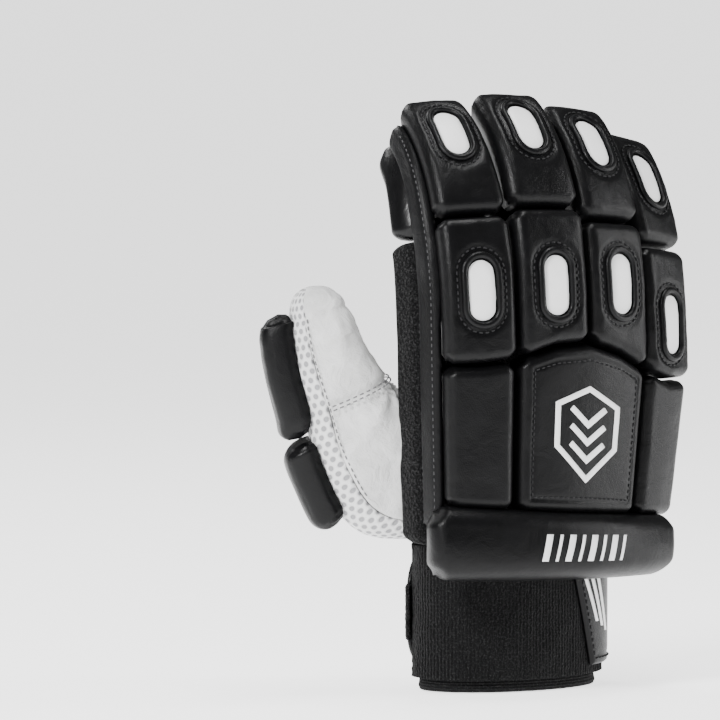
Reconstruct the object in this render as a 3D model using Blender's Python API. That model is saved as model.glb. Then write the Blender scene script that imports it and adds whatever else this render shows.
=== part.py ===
"""A cricket batting glove for the right hand, standing on its closed cuff with the fingers up.

X runs from the thumb side to the little finger, Y from the back of the hand to the palm, Z up.
The padded back is built on one curved bed: an arch across the hand, swept up a profile that
leans a little over the hand and then curls over the fingers. Lengths are in metres.
"""

import math
from collections import Counter, namedtuple

import bmesh
import bpy
import numpy as np
from mathutils import Vector

# Clearances and wall thicknesses
SEAM_GAP = 0.0003
LEATHER_WALL = 0.0015
KNIT_WALL = 0.0018
HOOD_WALL = 0.002
TOWEL_WALL = 0.003

# The bed under the padding
KNUCKLE_HEIGHT = 0.152
BED_DEPTH = 0.018
THUMB_EDGE_X = -0.0397
ARCH_START_ANGLE = -11.0
ARCH_END_ANGLE = 34.0
LEAN_ANGLE = 2.0
CURL_ANGLE = 76.0
CURL_LENGTH = 0.124
CURL_POWER = 1.9
KNUCKLE_DROP = 0.016
WRIST_NARROWING = 1.1
WRIST_SLOPE = 0.30

# Finger rolls
COLUMN_WIDTH = 0.033
COLUMN_GAP = 0.0016
ROLL_GAP = 0.0035
LOWER_ROLL_LENGTH = 0.0625
UPPER_ROLL_LENGTH = 0.058
ROLL_THICKNESS = 0.0155
TIP_NARROWING = 0.9

# Finger stalls
TUBE_WIDTH = 0.025
TUBE_DEPTH = 0.022
WEB_START = 0.026
FLARE_LENGTH = 0.013
STRIP_END = 0.062
NET_LENGTH = 0.021
NET_PROUD = 0.0011
HOOD_PROUD = 0.002
DOME_LENGTH = 0.011
STRIP_HALF_ANGLE = 54.0
CROTCH_GAP = 0.001
STALL_GAP = 0.0009
FLARED_SQUARENESS = 6.0
STALL_SQUARENESS = 2.7

# Hand
HAND_DEPTH = 0.031
THUMB_EDGE_INSET = 0.0005
LITTLE_EDGE_INSET = 0.003
HAND_SQUARENESS = 5.0
DEPTH_BLEND = 0.033
CUFF_BLEND = 0.036
HAND_ROWS = (1.0, 0.86, 0.72, 0.58, 0.44, 0.31, 0.20, 0.10, 0.0)

# Back blocks and wrist roll
BLOCK_THICKNESS = 0.0145
BLOCK_FOOT = -0.070
EMBLEM_PEAK = 0.0045
WRIST_ROLL_THICKNESS = 0.021
WRIST_ROLL_HEIGHT = 0.030
WRIST_ROLL_OVERHANG = 0.006

# Side padding on the thumb edge
SIDE_REACH = 0.0185
SIDE_DEPTH = 0.020
SIDE_LENGTH = 0.138

# Vents
VENT_WIDTH = 0.0122
VENT_LENGTH = 0.0265
RIM_WIDTH = 0.0031
RIM_HEIGHT = 0.0013
VENT_HEIGHT = 0.0008
VENT_CLEARANCE = 0.0004

# Cuff
CUFF_WIDTH = 0.092
CUFF_DEPTH = 0.056
CUFF_CENTRE_X = 0.009
CUFF_CENTRE_Y = 0.0150
CUFF_TOP = 0.066
CUFF_FOOT = 0.006
HEM_HEIGHT = 0.020
HEM_WALL = 0.0025
STRAP_WALL = 0.0024
STRAP_WIDTH = 0.047
STRAP_FOOT = 0.013
STRAP_START = 31.0
STRAP_SLANT = 20.0
STRAP_FREE_END = 246.0
TAB_WIDTH = 0.012

# Thumb
THUMB_PAD_THICKNESS = 0.0125
THUMB_PAD_SHARE = 0.8
THUMB_WALL = 0.0016
THUMB_SQUARENESS = 2.4
THUMB_SEAMS = (62.0, 232.0)
THUMB_BACK_ANGLE = 109.0

# Badge
BADGE_WIDTH = 0.028
BADGE_HEIGHT = 0.036
BADGE_LINE = 0.0026
BADGE_RELIEF = 0.0008

# One row for each finger: the width of its column and the drop of its knuckle as shares of
# COLUMN_WIDTH and KNUCKLE_DROP, its rolls as shares of the roll lengths, the size of its stall
# as a share of the tube, where its leather strip ends as a share of STRIP_END, and where its
# two vents sit as shares of their rolls.
Finger = namedtuple("Finger", "name width drop lower upper stall strip low_vent top_vent")
FINGERS = (
    Finger("index", 0.96, 0.25, 1.02, 1.02, 1.00, 1.00, 0.50, 0.60),
    Finger("middle", 1.02, 0.00, 1.00, 1.00, 1.00, 1.03, 0.50, 0.62),
    Finger("ring", 0.98, 0.30, 0.96, 0.97, 0.98, 1.00, 0.57, 0.60),
    Finger("little", 0.89, 1.00, 0.93, 0.93, 0.90, 1.02, 0.46, 0.58),
)

# One row for each station of the thumb, from its root to its tip: the centre of the section,
# its half width toward the thumb's back and its half width across, as shares of THUMB_REACH,
# THUMB_HEIGHT, THUMB_DEPTH and THUMB_HALF.
THUMB_REACH = 0.079
THUMB_HEIGHT = 0.172
THUMB_DEPTH = 0.031
THUMB_HALF = 0.0245
ThumbStation = namedtuple("ThumbStation", "reach height depth back across")
THUMB_STATIONS = (
    ThumbStation(0.278, 0.488, 0.420, 0.65, 0.46),
    ThumbStation(0.557, 0.547, 0.690, 1.14, 0.70),
    ThumbStation(0.734, 0.663, 0.780, 1.02, 0.76),
    ThumbStation(0.861, 0.797, 0.845, 0.80, 0.735),
    ThumbStation(0.943, 0.895, 0.910, 0.69, 0.67),
    ThumbStation(0.981, 0.965, 0.960, 0.61, 0.61),
    ThumbStation(1.000, 1.000, 0.980, 0.51, 0.55),
)
THUMB_DOME = (0.80, 0.45)


def clear_scene():
    for obj in list(bpy.data.objects):
        bpy.data.objects.remove(obj, do_unlink=True)


def make_material(name, colour, roughness, metallic=0.0):
    material = bpy.data.materials.new(name)
    material.use_nodes = True
    shader = material.node_tree.nodes["Principled BSDF"]
    shader.inputs["Base Color"].default_value = (*colour, 1.0)
    shader.inputs["Roughness"].default_value = roughness
    shader.inputs["Metallic"].default_value = metallic
    material.diffuse_color = (*colour, 1.0)
    return material


clear_scene()
BLACK_LEATHER = make_material("black_leather", (0.018, 0.018, 0.02), 0.42)
BLACK_KNIT = make_material("black_knit", (0.012, 0.012, 0.013), 0.9)
BLACK_TOWEL = make_material("black_towelling", (0.010, 0.010, 0.011), 0.95)
WHITE_LEATHER = make_material("white_leather", (0.80, 0.80, 0.79), 0.55)
WHITE_MESH = make_material("white_mesh", (0.78, 0.78, 0.78), 0.7)
WHITE_PANEL = make_material("white_panel", (0.88, 0.88, 0.88), 0.4)

GLOVE = bpy.data.objects.new("glove", None)
bpy.context.scene.collection.objects.link(GLOVE)


def column_centres():
    """The arc position of each finger's column across the bed, and the bed's whole width."""
    centres = []
    edge = 0.0
    for finger in FINGERS:
        width = finger.width * COLUMN_WIDTH
        centres.append(edge + width / 2)
        edge += width + COLUMN_GAP
    return centres, edge - COLUMN_GAP


CENTRES, BED_WIDTH = column_centres()
ARCH_RATE = math.radians(ARCH_END_ANGLE - ARCH_START_ANGLE) / BED_WIDTH
ARCH_RADIUS = 1 / ARCH_RATE


def arch(u):
    """Position across and in depth, and the angle, of the arch at arc length u."""
    start = math.radians(ARCH_START_ANGLE)
    angle = start + ARCH_RATE * u
    across = (math.sin(angle) - math.sin(start)) * ARCH_RADIUS
    return THUMB_EDGE_X + across, -BED_DEPTH + (1 - math.cos(angle)) * ARCH_RADIUS, angle


def curl_angle(s):
    share = max(s, 0.0) / CURL_LENGTH
    return math.radians(LEAN_ANGLE + (CURL_ANGLE - LEAN_ANGLE) * share**CURL_POWER)


PROFILE_STEP = 0.001
PROFILE_LENGTHS = np.arange(0.0, 1.4 * CURL_LENGTH, PROFILE_STEP)
PROFILE_ANGLES = np.array([curl_angle(s) for s in PROFILE_LENGTHS])


def running_sum(values):
    middles = (values[1:] + values[:-1]) / 2 * PROFILE_STEP
    return np.concatenate([[0.0], np.cumsum(middles)])


PROFILE_Y = running_sum(np.sin(PROFILE_ANGLES))
PROFILE_Z = running_sum(np.cos(PROFILE_ANGLES))


def profile(s):
    """Depth and rise of the bed at arc length s above the knuckle, and its angle from upright."""
    angle = curl_angle(s)
    if s <= 0:
        return s * math.sin(angle), s * math.cos(angle), angle
    y = float(np.interp(s, PROFILE_LENGTHS, PROFILE_Y))
    z = float(np.interp(s, PROFILE_LENGTHS, PROFILE_Z))
    return y, z, angle


def frame_at(theta, phi):
    """Directions across, outward and along the bed where the arch and the curl have these angles."""
    along = Vector((0.0, math.sin(phi), math.cos(phi)))
    across = Vector((math.cos(theta), math.sin(theta), 0.0))
    across = (across - across.dot(along) * along).normalized()
    return across, across.cross(along), along


def drop_share(s):
    """The knuckle line slopes down to the little finger, and levels out toward the cuff."""
    return min(1.0, max(0.0, 1.0 + s / WRIST_SLOPE))


def narrowing(s):
    return 1.0 + min(s, 0.0) * WRIST_NARROWING


def drop_at(u):
    return float(np.interp(u, CENTRES, [f.drop for f in FINGERS])) * KNUCKLE_DROP


def column_edges():
    """Arc positions of the bed's ends and of the middles of the gaps between the columns."""
    inner = [c + (f.width * COLUMN_WIDTH + COLUMN_GAP) / 2 for c, f in zip(CENTRES[:-1], FINGERS)]
    return [0.0] + inner + [BED_WIDTH]


def knuckle_peak(u):
    """How far the line between blocks and rolls rises above the knuckles: a low gable over the emblem block."""
    edges = column_edges()
    half = (edges[3] - edges[1]) / 2
    return EMBLEM_PEAK * max(0.0, 1 - abs(u - edges[1] - half) / half)


def bed_point(u, s, n, drop=None):
    """A point at arc u across the bed, length s along it and height n above it."""
    if drop is None:
        drop = drop_at(u)
    x, y, theta = arch(u)
    depth, rise, phi = profile(s)
    _, outward, _ = frame_at(theta, phi)
    x = THUMB_EDGE_X + (x - THUMB_EDGE_X) * narrowing(s)
    return Vector((x, y + depth, KNUCKLE_HEIGHT - drop * drop_share(s) + rise)) + n * outward


def column_point(index, b, s, n):
    """A point in a finger's own flat column: b across from its centre, s along and n outward."""
    u = CENTRES[index]
    theta = arch(u)[2]
    across, _, _ = frame_at(theta, profile(s)[2])
    drop = FINGERS[index].drop * KNUCKLE_DROP
    return bed_point(u, s, n, drop) + b * narrowing(s) * across


def roll_width(index, s):
    share = max(0.0, min(1.0, (s - LOWER_ROLL_LENGTH) / UPPER_ROLL_LENGTH))
    return FINGERS[index].width * COLUMN_WIDTH * (1 - (1 - TIP_NARROWING) * share)


def smooth(share):
    share = max(0.0, min(1.0, share))
    return share * share * (3 - 2 * share)


def add_object(name, bm, material):
    bmesh.ops.recalc_face_normals(bm, faces=bm.faces)
    mesh = bpy.data.meshes.new(name)
    bm.to_mesh(mesh)
    bm.free()
    mesh.materials.append(material)
    mesh.shade_smooth()
    mesh.set_sharp_from_angle(angle=math.radians(40))
    obj = bpy.data.objects.new(name, mesh)
    bpy.context.scene.collection.objects.link(obj)
    obj.parent = GLOVE
    return obj


def layered_solid(name, top, bottom, faces, material):
    """A closed solid between two matching layers of points that share the same faces."""
    bm = bmesh.new()
    upper = [bm.verts.new(p) for p in top]
    lower = [bm.verts.new(p) for p in bottom]
    directed = Counter()
    for face in faces:
        bm.faces.new([upper[k] for k in face])
        bm.faces.new([lower[k] for k in reversed(face)])
        directed.update(zip(face, face[1:] + face[:1]))
    for a, b in directed:
        if (b, a) not in directed:
            bm.faces.new([upper[b], upper[a], lower[a], lower[b]])
    loose = [v for v in bm.verts if not v.link_faces]
    bmesh.ops.delete(bm, geom=loose, context="VERTS")
    return add_object(name, bm, material)


def grid_faces(rows, columns, closed=False):
    """Faces of a grid of points listed row by row, closed round its columns if asked."""
    faces = []
    for i in range(rows - 1):
        for j in range(columns if closed else columns - 1):
            k = (j + 1) % columns
            faces.append((i * columns + j, i * columns + k, (i + 1) * columns + k, (i + 1) * columns + j))
    return faces


def walled_shell(name, skin, faces, wall, material):
    """A wall of even thickness behind a skin, which is a list of points with their outward normals."""
    outer = [point for point, _ in skin]
    inner = [point - normal * wall for point, normal in skin]
    return layered_solid(name, outer, inner, faces, material)


def cut_away(obj, cutter):
    modifier = obj.modifiers.new("cut", "BOOLEAN")
    modifier.operation = "DIFFERENCE"
    modifier.solver = "EXACT"
    modifier.object = cutter


# Padded rolls and blocks

EDGE_PROFILE = ((0.0, 0.50), (0.10, 0.86), (0.26, 0.98), (0.50, 1.0), (0.74, 0.98), (0.90, 0.86), (1.0, 0.50))
END_PROFILE = ((0.0, 0.45), (0.045, 0.82), (0.14, 0.97), (0.38, 1.0), (0.62, 1.0), (0.86, 0.97), (0.955, 0.82), (1.0, 0.45))


def padded_block(name, place, thickness, material, across=EDGE_PROFILE, along=END_PROFILE):
    """A crowned pad. place(i, j, n) gives the point at shares i across and j along, n outward."""
    top = []
    bottom = []
    for j, end in along:
        for i, edge in across:
            top.append(place(i, j, thickness * min(edge, end) * (0.5 + 0.5 * max(edge, end))))
            bottom.append(place(i, j, 0.0))
    return layered_solid(name, top, bottom, grid_faces(len(along), len(across)), material)


def roll_limits(index):
    """Arc lengths where the lower and the upper roll of a finger begin and end."""
    finger = FINGERS[index]
    foot = ROLL_GAP / 2
    joint = finger.lower * LOWER_ROLL_LENGTH
    tip = joint + finger.upper * UPPER_ROLL_LENGTH
    return (foot, joint - ROLL_GAP / 2), (joint + ROLL_GAP / 2, tip)


def build_finger_rolls():
    for index, finger in enumerate(FINGERS):
        for part, (start, end) in zip(("lower", "upper"), roll_limits(index)):

            def place(i, j, n, index=index, part=part, start=start, end=end):
                s = start + (end - start) * j
                b = (i - 0.5) * roll_width(index, s)
                if part == "lower":
                    u = CENTRES[index] + b
                    slant = FINGERS[index].drop * KNUCKLE_DROP - drop_at(u) + knuckle_peak(u)
                    s += slant * (1 - j)
                return column_point(index, b * (1 + n / ARCH_RADIUS), s, n)

            padded_block(f"roll_{finger.name}_{part}", place, ROLL_THICKNESS, BLACK_LEATHER)


def build_back_blocks():
    """The block below the index finger, the five-sided emblem block and the block below the little finger."""
    edges = column_edges()
    gap = COLUMN_GAP / 2

    def block(name, left, right):
        def place(i, j, n):
            u = left + (right - left) * i
            head = knuckle_peak(u) - ROLL_GAP / 2
            return bed_point(u, BLOCK_FOOT + (head - BLOCK_FOOT) * j, n)

        across = EDGE_PROFILE
        if right - left > 1.5 * COLUMN_WIDTH:
            across = ((0.0, 0.5), (0.05, 0.86), (0.14, 0.98), (0.32, 1.0), (0.5, 1.0), (0.68, 1.0), (0.86, 0.98), (0.95, 0.86), (1.0, 0.5))
        return padded_block(name, place, BLOCK_THICKNESS, BLACK_LEATHER, across)

    block("block_index", edges[0], edges[1] - gap)
    block("block_emblem", edges[1] + gap, edges[3] - gap)
    block("block_little", edges[3] + gap, edges[4])


def build_wrist_roll():
    head = BLOCK_FOOT - ROLL_GAP
    left = -WRIST_ROLL_OVERHANG
    right = BED_WIDTH - WRIST_ROLL_OVERHANG * 0.3

    def place(i, j, n):
        return bed_point(left + (right - left) * i, head - WRIST_ROLL_HEIGHT * (1 - 0.15 * i) * (1 - j), n)

    across = [(k / 12, 1.0) for k in range(1, 12)]
    across = [(0.0, 0.45), (0.02, 0.85)] + across + [(0.98, 0.85), (1.0, 0.45)]
    along = ((0.0, 0.45), (0.10, 0.85), (0.28, 1.0), (0.60, 1.0), (0.88, 0.86), (1.0, 0.5))
    padded_block("wrist_roll", place, WRIST_ROLL_THICKNESS, BLACK_LEATHER, across, along)


# Vents

OVAL_ARC = 6
OVAL_SIDE = 3


def oval(width, length):
    """The outline of a slot with round ends, as offsets across and along."""
    radius = width / 2
    straight = length / 2 - radius
    half = []
    for k in range(OVAL_ARC):
        angle = math.pi * k / (OVAL_ARC - 1)
        half.append((radius * math.cos(angle), straight + radius * math.sin(angle)))
    half += [(-radius, straight * (1 - 2 * k / (OVAL_SIDE + 1))) for k in range(1, OVAL_SIDE + 1)]
    return half + [(-x, -y) for x, y in half]


def oval_rows(width, length, rows=7):
    """The same slot as rows of three offsets from one end to the other."""
    radius = width / 2
    straight = length / 2 - radius
    offsets = []
    for k in range(rows):
        y = length / 2 * math.sin(math.pi / 2 * (2 * k / (rows - 1) - 1) * 0.93)
        past = max(0.0, abs(y) - straight) / radius
        half = radius * math.sqrt(max(0.0, 1 - past * past))
        offsets += [(-half, y), (0.0, y), (half, y)]
    return offsets


def build_vents():
    """A pale oval vent on each finger roll, inside a raised oval rim."""
    for index, finger in enumerate(FINGERS):
        width = VENT_WIDTH * (0.9 if finger.name == "little" else 1.0)
        shares = (finger.low_vent, finger.top_vent)
        for part, (start, end), share in zip(("lower", "upper"), roll_limits(index), shares):
            middle = start + (end - start) * share

            def layer(offsets, n, index=index, middle=middle):
                return [column_point(index, b, middle + s, ROLL_THICKNESS + VENT_CLEARANCE + n) for b, s in offsets]

            outer = oval(width + 2 * RIM_WIDTH, VENT_LENGTH + 2 * RIM_WIDTH)
            inner = oval(width + 2 * SEAM_GAP, VENT_LENGTH + 2 * SEAM_GAP)
            faces = grid_faces(2, len(outer), True)
            top, bottom = layer(outer + inner, RIM_HEIGHT), layer(outer + inner, 0.0)
            layered_solid(f"vent_rim_{finger.name}_{part}", top, bottom, faces, BLACK_LEATHER)
            offsets = oval_rows(width, VENT_LENGTH)
            top, bottom = layer(offsets, VENT_HEIGHT), layer(offsets, 0.0)
            layered_solid(f"vent_{finger.name}_{part}", top, bottom, grid_faces(7, 3), WHITE_PANEL)


# Finger stalls

def strip_end(index):
    return FINGERS[index].strip * STRIP_END


def hood_start(index):
    return strip_end(index) + NET_LENGTH


def tip_end(index):
    return roll_limits(index)[1][1] - DOME_LENGTH * 0.35


def web_at(u):
    """Arc length at which the web between the fingers lies, level across the hand."""
    return WEB_START + drop_at(u)


def flare_share(index, s):
    """0 at the web, where a stall fills its whole column, and 1 where it is a plain tube."""
    return smooth((s - web_at(CENTRES[index])) / FLARE_LENGTH)


def stall_halves(index, s):
    """Half width to the left and right, half depth and squareness of a finger's stall at s."""
    size = FINGERS[index].stall
    share = flare_share(index, s)
    taper = 1 - 0.08 * max(0.0, s - STRIP_END) / UPPER_ROLL_LENGTH
    plain = TUBE_WIDTH / 2 * size * taper
    half = (FINGERS[index].width * COLUMN_WIDTH + COLUMN_GAP) / 2 - CROTCH_GAP / 2
    flared = half * (1 - TUBE_DEPTH / 2 / ARCH_RADIUS)
    left = plain if index == 0 else flared + (plain - flared) * share
    right = plain if index == len(FINGERS) - 1 else flared + (plain - flared) * share
    return left, right, TUBE_DEPTH / 2, FLARED_SQUARENESS + (STALL_SQUARENESS - FLARED_SQUARENESS) * share


def signed_power(value, power):
    return math.copysign(abs(value) ** power, value)


def stall_skin(index, s, angle, proud=0.0):
    """A point on a stall's skin and its outward normal. The angle is 0 at the palm side and 90 toward the little finger."""
    left, right, deep, squareness = stall_halves(index, s)
    power = 2 / squareness
    wide = (right if math.sin(angle) > 0 else left) + proud
    low = deep + proud / 2
    b = signed_power(math.sin(angle), power)
    m = signed_power(-math.cos(angle), power)
    n = -STALL_GAP - low * (1 - m)
    wedge = 1 + (n + STALL_GAP + deep) / ARCH_RADIUS * (1 - flare_share(index, s))
    across, outward, _ = frame_at(arch(CENTRES[index])[2], profile(s)[2])
    normal = across * signed_power(b, squareness - 1) / wide + outward * signed_power(m, squareness - 1) / low
    return column_point(index, wide * b * wedge, s, n), normal.normalized()


def stall_centre(index, s):
    return column_point(index, 0.0, s, -STALL_GAP - TUBE_DEPTH / 2)


def spread(start, end, count):
    return [start + (end - start) * k / (count - 1) for k in range(count)]


def stall_lengths(index):
    """Where the rows of a finger's strip and sleeve lie, from just above the web to the strip's end."""
    web = web_at(CENTRES[index])
    return [web + FLARE_LENGTH * 0.45] + spread(web + FLARE_LENGTH, strip_end(index) - SEAM_GAP, 3)


def build_sleeves():
    """The knitted back and sides of each finger, open on the palm side for its leather strip."""
    for index, finger in enumerate(FINGERS):
        opening = math.radians(STRIP_HALF_ANGLE) + SEAM_GAP * 4 / TUBE_WIDTH
        angles = spread(opening, 2 * math.pi - opening, 9)
        lengths = [web_at(CENTRES[index]) + CROTCH_GAP] + stall_lengths(index)
        skin = [stall_skin(index, s, angle) for s in lengths for angle in angles]
        walled_shell(f"sleeve_{finger.name}", skin, grid_faces(len(lengths), len(angles)), KNIT_WALL, BLACK_KNIT)


def build_nets():
    for index, finger in enumerate(FINGERS):
        angles = [2 * math.pi * k / 12 for k in range(12)]
        lengths = spread(strip_end(index), hood_start(index) - SEAM_GAP, 3)
        skin = [stall_skin(index, s, angle, NET_PROUD) for s in lengths for angle in angles]
        walled_shell(f"net_{finger.name}", skin, grid_faces(len(lengths), len(angles), True), KNIT_WALL, BLACK_KNIT)


def build_hoods():
    """The leather end of each finger: a tube that closes in a dome over the fingertip."""
    for index, finger in enumerate(FINGERS):
        angles = [2 * math.pi * k / 12 for k in range(12)]
        end = tip_end(index)
        lengths = spread(hood_start(index), end, 4)
        skin = [stall_skin(index, s, angle, HOOD_PROUD) for s in lengths for angle in angles]
        outer = [point for point, _ in skin]
        inner = [point - normal * HOOD_WALL for point, normal in skin]
        middle = stall_centre(index, end)
        along = frame_at(arch(CENTRES[index])[2], profile(end)[2])[2]
        edges = outer[-len(angles):], inner[-len(angles):]
        for share in (0.42, 0.78):
            size = math.sqrt(1 - share * share)
            for layer, edge, reach in zip((outer, inner), edges, (DOME_LENGTH, DOME_LENGTH - HOOD_WALL)):
                layer += [middle + (p - middle) * size + along * reach * share for p in edge]
        outer.append(middle + along * DOME_LENGTH)
        inner.append(middle + along * (DOME_LENGTH - HOOD_WALL))
        rows = len(lengths) + 2
        faces = grid_faces(rows, len(angles), True)
        last = (rows - 1) * len(angles)
        faces += [(last + k, last + (k + 1) % len(angles), len(outer) - 1) for k in range(len(angles))]
        layered_solid(f"hood_{finger.name}", outer, inner, faces, BLACK_LEATHER)


# Hand

def cuff_point(angle, z, proud=0.0):
    """A point on the cuff's outer skin. The angle is 0 at the back and 90 toward the little finger."""
    x = CUFF_CENTRE_X + (CUFF_WIDTH / 2 + proud) * math.sin(angle)
    y = CUFF_CENTRE_Y - (CUFF_DEPTH / 2 + proud) * math.cos(angle)
    return Vector((x, y, z))


HAND_FOOT = -(KNUCKLE_HEIGHT - CUFF_TOP) + SEAM_GAP
HAND_HALF = (BED_WIDTH - THUMB_EDGE_INSET - LITTLE_EDGE_INSET) / 2
HAND_MIDDLE = THUMB_EDGE_INSET + HAND_HALF


def hand_skin(t, m, row):
    """A point of the hand's skin and its normal: t runs across and m from the palm to the back, from -1 to 1."""
    u = HAND_MIDDLE + t * HAND_HALF
    web = web_at(u)
    s = HAND_FOOT + (web - HAND_FOOT) * row
    depth = HAND_DEPTH + (TUBE_DEPTH - HAND_DEPTH) * smooth(1 + (s - web) / DEPTH_BLEND)
    hand = bed_point(u, s, -SEAM_GAP - depth * (1 - m) / 2)
    across, outward, _ = frame_at(arch(u)[2], profile(s)[2])
    power = HAND_SQUARENESS - 1
    normal = across * signed_power(t, power) / HAND_HALF + outward * signed_power(m, power) * 2 / depth
    share = smooth((CUFF_TOP + CUFF_BLEND - hand.z) / CUFF_BLEND)
    angle = math.atan2(t, m)
    cuff = cuff_point(angle, CUFF_TOP + SEAM_GAP + max(0.0, s - HAND_FOOT) * 0.6)
    cuff_normal = Vector((math.sin(angle) / CUFF_WIDTH, -math.cos(angle) / CUFF_DEPTH, 0.0)).normalized()
    return hand.lerp(cuff, share), normal.normalized().lerp(cuff_normal, share).normalized()


def around(t):
    """How far from the middle layer the rounded hand section lies at t, from 0 to 1."""
    return max(0.0, 1 - abs(t) ** HAND_SQUARENESS) ** (1 / HAND_SQUARENESS)


def strip_angles():
    half = math.radians(STRIP_HALF_ANGLE)
    return spread(-half, half, 5)


def hand_column(index, angle):
    """Across and depth position, from -1 to 1, of the hand's column below a stall's point at the angle."""
    left, right, _, squareness = stall_halves(index, web_at(CENTRES[index]))
    wide = right if math.sin(angle) > 0 else left
    b = wide * signed_power(math.sin(angle), 2 / squareness)
    t = (CENTRES[index] + b - HAND_MIDDLE) / HAND_HALF
    return t, math.copysign(around(t), -math.cos(angle))


def hand_sheet(columns):
    """Rows of skin from the web to the cuff. Each column is a finger, an angle on its stall and a place on the hand."""
    skin = [stall_skin(index, web_at(CENTRES[index]), angle) for index, angle, _ in columns]
    for row in HAND_ROWS[1:]:
        skin += [hand_skin(*place, row) for _, _, place in columns]
    return skin


def build_palm():
    """One piece of leather: the palm, and a strip up the inside of each finger."""
    angles = strip_angles()
    columns = [(k, angle, hand_column(k, angle)) for k in range(len(FINGERS)) for angle in angles]
    skin = hand_sheet(columns)
    faces = grid_faces(len(HAND_ROWS), len(columns))
    for index in range(len(FINGERS)):
        below = [index * len(angles) + k for k in range(len(angles))]
        for s in stall_lengths(index):
            row = list(range(len(skin), len(skin) + len(angles)))
            skin += [stall_skin(index, s, angle) for angle in angles]
            for k in range(len(angles) - 1):
                faces.append((row[k], row[k + 1], below[k + 1], below[k]))
            below = row
    return walled_shell("palm_leather", skin, faces, LEATHER_WALL, WHITE_LEATHER)


def build_back():
    """The knitted back of the hand with both its edges, seamed to the palm's leather."""
    half = math.radians(STRIP_HALF_ANGLE)
    seam = SEAM_GAP * 8 / TUBE_WIDTH
    flank = spread(half + seam, math.pi - half, 5)
    power = 2 / HAND_SQUARENESS
    columns = []

    def add_flank(index, angle):
        t, m = hand_column(index, angle)
        edge = (signed_power(math.sin(angle), power), -signed_power(math.cos(angle), power))
        share = min(1.0, abs(math.cos(angle)) / math.cos(half + seam))
        columns.append((index, angle, (edge[0] + (t - edge[0]) * share**2, edge[1] + (m - edge[1]) * share**2)))

    for angle in flank:
        add_flank(0, -angle)
    for index in range(len(FINGERS)):
        for angle in spread(math.pi + half, math.pi - half, 5):
            if index > 0 or angle < math.pi + half - 0.01:
                columns.append((index, angle, hand_column(index, angle)))
    columns.pop()
    for angle in reversed(flank):
        add_flank(len(FINGERS) - 1, angle)
    skin = hand_sheet(columns)
    return walled_shell("back_of_hand", skin, grid_faces(len(HAND_ROWS), len(columns)), KNIT_WALL, BLACK_KNIT)


def build_hand_core():
    """The whole hand as one solid, to trim the thumb's root with."""
    section = [(t, around(t)) for t in spread(-0.97, 0.97, 9)]
    section += [(1.0, 0.0)] + [(t, -around(t)) for t in spread(0.97, -0.97, 9)] + [(-1.0, 0.0)]
    return solid_tube("hand_core", [[hand_skin(t, m, row)[0] for t, m in section] for row in HAND_ROWS])


def solid_tube(name, rows):
    """A closed solid through rings of points, for cutting with."""
    bm = bmesh.new()
    made = [[bm.verts.new(p) for p in row] for row in rows]
    count = len(rows[0])
    for low, high in zip(made, made[1:]):
        for k in range(count):
            n = (k + 1) % count
            bm.faces.new((low[k], low[n], high[n], high[k]))
    bm.faces.new(made[0])
    bm.faces.new(made[-1])
    obj = add_object(name, bm, BLACK_KNIT)
    obj.hide_render = True
    obj.display_type = "WIRE"
    return obj


# Thumb

def thumb_axis():
    """Centre, back direction, across direction, along direction and half widths of each station."""
    centres = []
    for row in THUMB_STATIONS:
        centres.append(Vector((-row.reach * THUMB_REACH, row.depth * THUMB_DEPTH, row.height * THUMB_HEIGHT)))
    back_angle = math.radians(THUMB_BACK_ANGLE)
    towards = Vector((-math.sin(back_angle), -math.cos(back_angle), 0.0))
    stations = []
    for k, (centre, row) in enumerate(zip(centres, THUMB_STATIONS)):
        low = centres[max(k - 1, 0)]
        high = centres[min(k + 1, len(centres) - 1)]
        along = (high - low).normalized()
        back = (towards - towards.dot(along) * along).normalized()
        across = along.cross(back)
        stations.append((centre, back, across, along, row.back * THUMB_HALF, row.across * THUMB_HALF))
    return stations


def thumb_point(station, angle, proud=0.0):
    """A point on the thumb's skin: angle 0 is its back, 90 the side that faces the camera side of the hand."""
    centre, back, across, _, deep, wide = station
    power = 2 / THUMB_SQUARENESS
    out = (deep + proud) * signed_power(math.cos(angle), power)
    side = (wide + proud) * signed_power(math.sin(angle), power)
    return centre + back * out + across * side


def thumb_rows(angles, proud=0.0, dome=True):
    stations = thumb_axis()
    rows = [[thumb_point(station, angle, proud) for angle in angles] for station in stations]
    if dome:
        centre, _, _, along, deep, _ = stations[-1]
        for share in THUMB_DOME:
            reach = (deep + proud) * 0.9 * math.sqrt(1 - share * share)
            rows.append([centre + (p - centre) * share + along * reach for p in rows[len(stations) - 1]])
    return rows


def thumb_tip(proud=0.0):
    centre, _, _, along, deep, _ = thumb_axis()[-1]
    return centre + along * (deep + proud) * 0.98


def thumb_panels():
    """The name, section angles and material of the thumb's two panels."""
    start, end = (math.radians(angle) for angle in THUMB_SEAMS)
    seam = SEAM_GAP * 2 / THUMB_HALF
    return (
        ("thumb_leather", spread(start + seam, end - seam, 9), WHITE_LEATHER),
        ("thumb_mesh", spread(end, start + 2 * math.pi, 9), WHITE_MESH),
    )


def build_thumb_core():
    """The thumb's whole volume, a little grown, to open the hand for it."""
    angles = [angle for panel in thumb_panels() for angle in panel[1]]
    return solid_tube("thumb_core", thumb_rows(angles, SEAM_GAP * 2))


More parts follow.
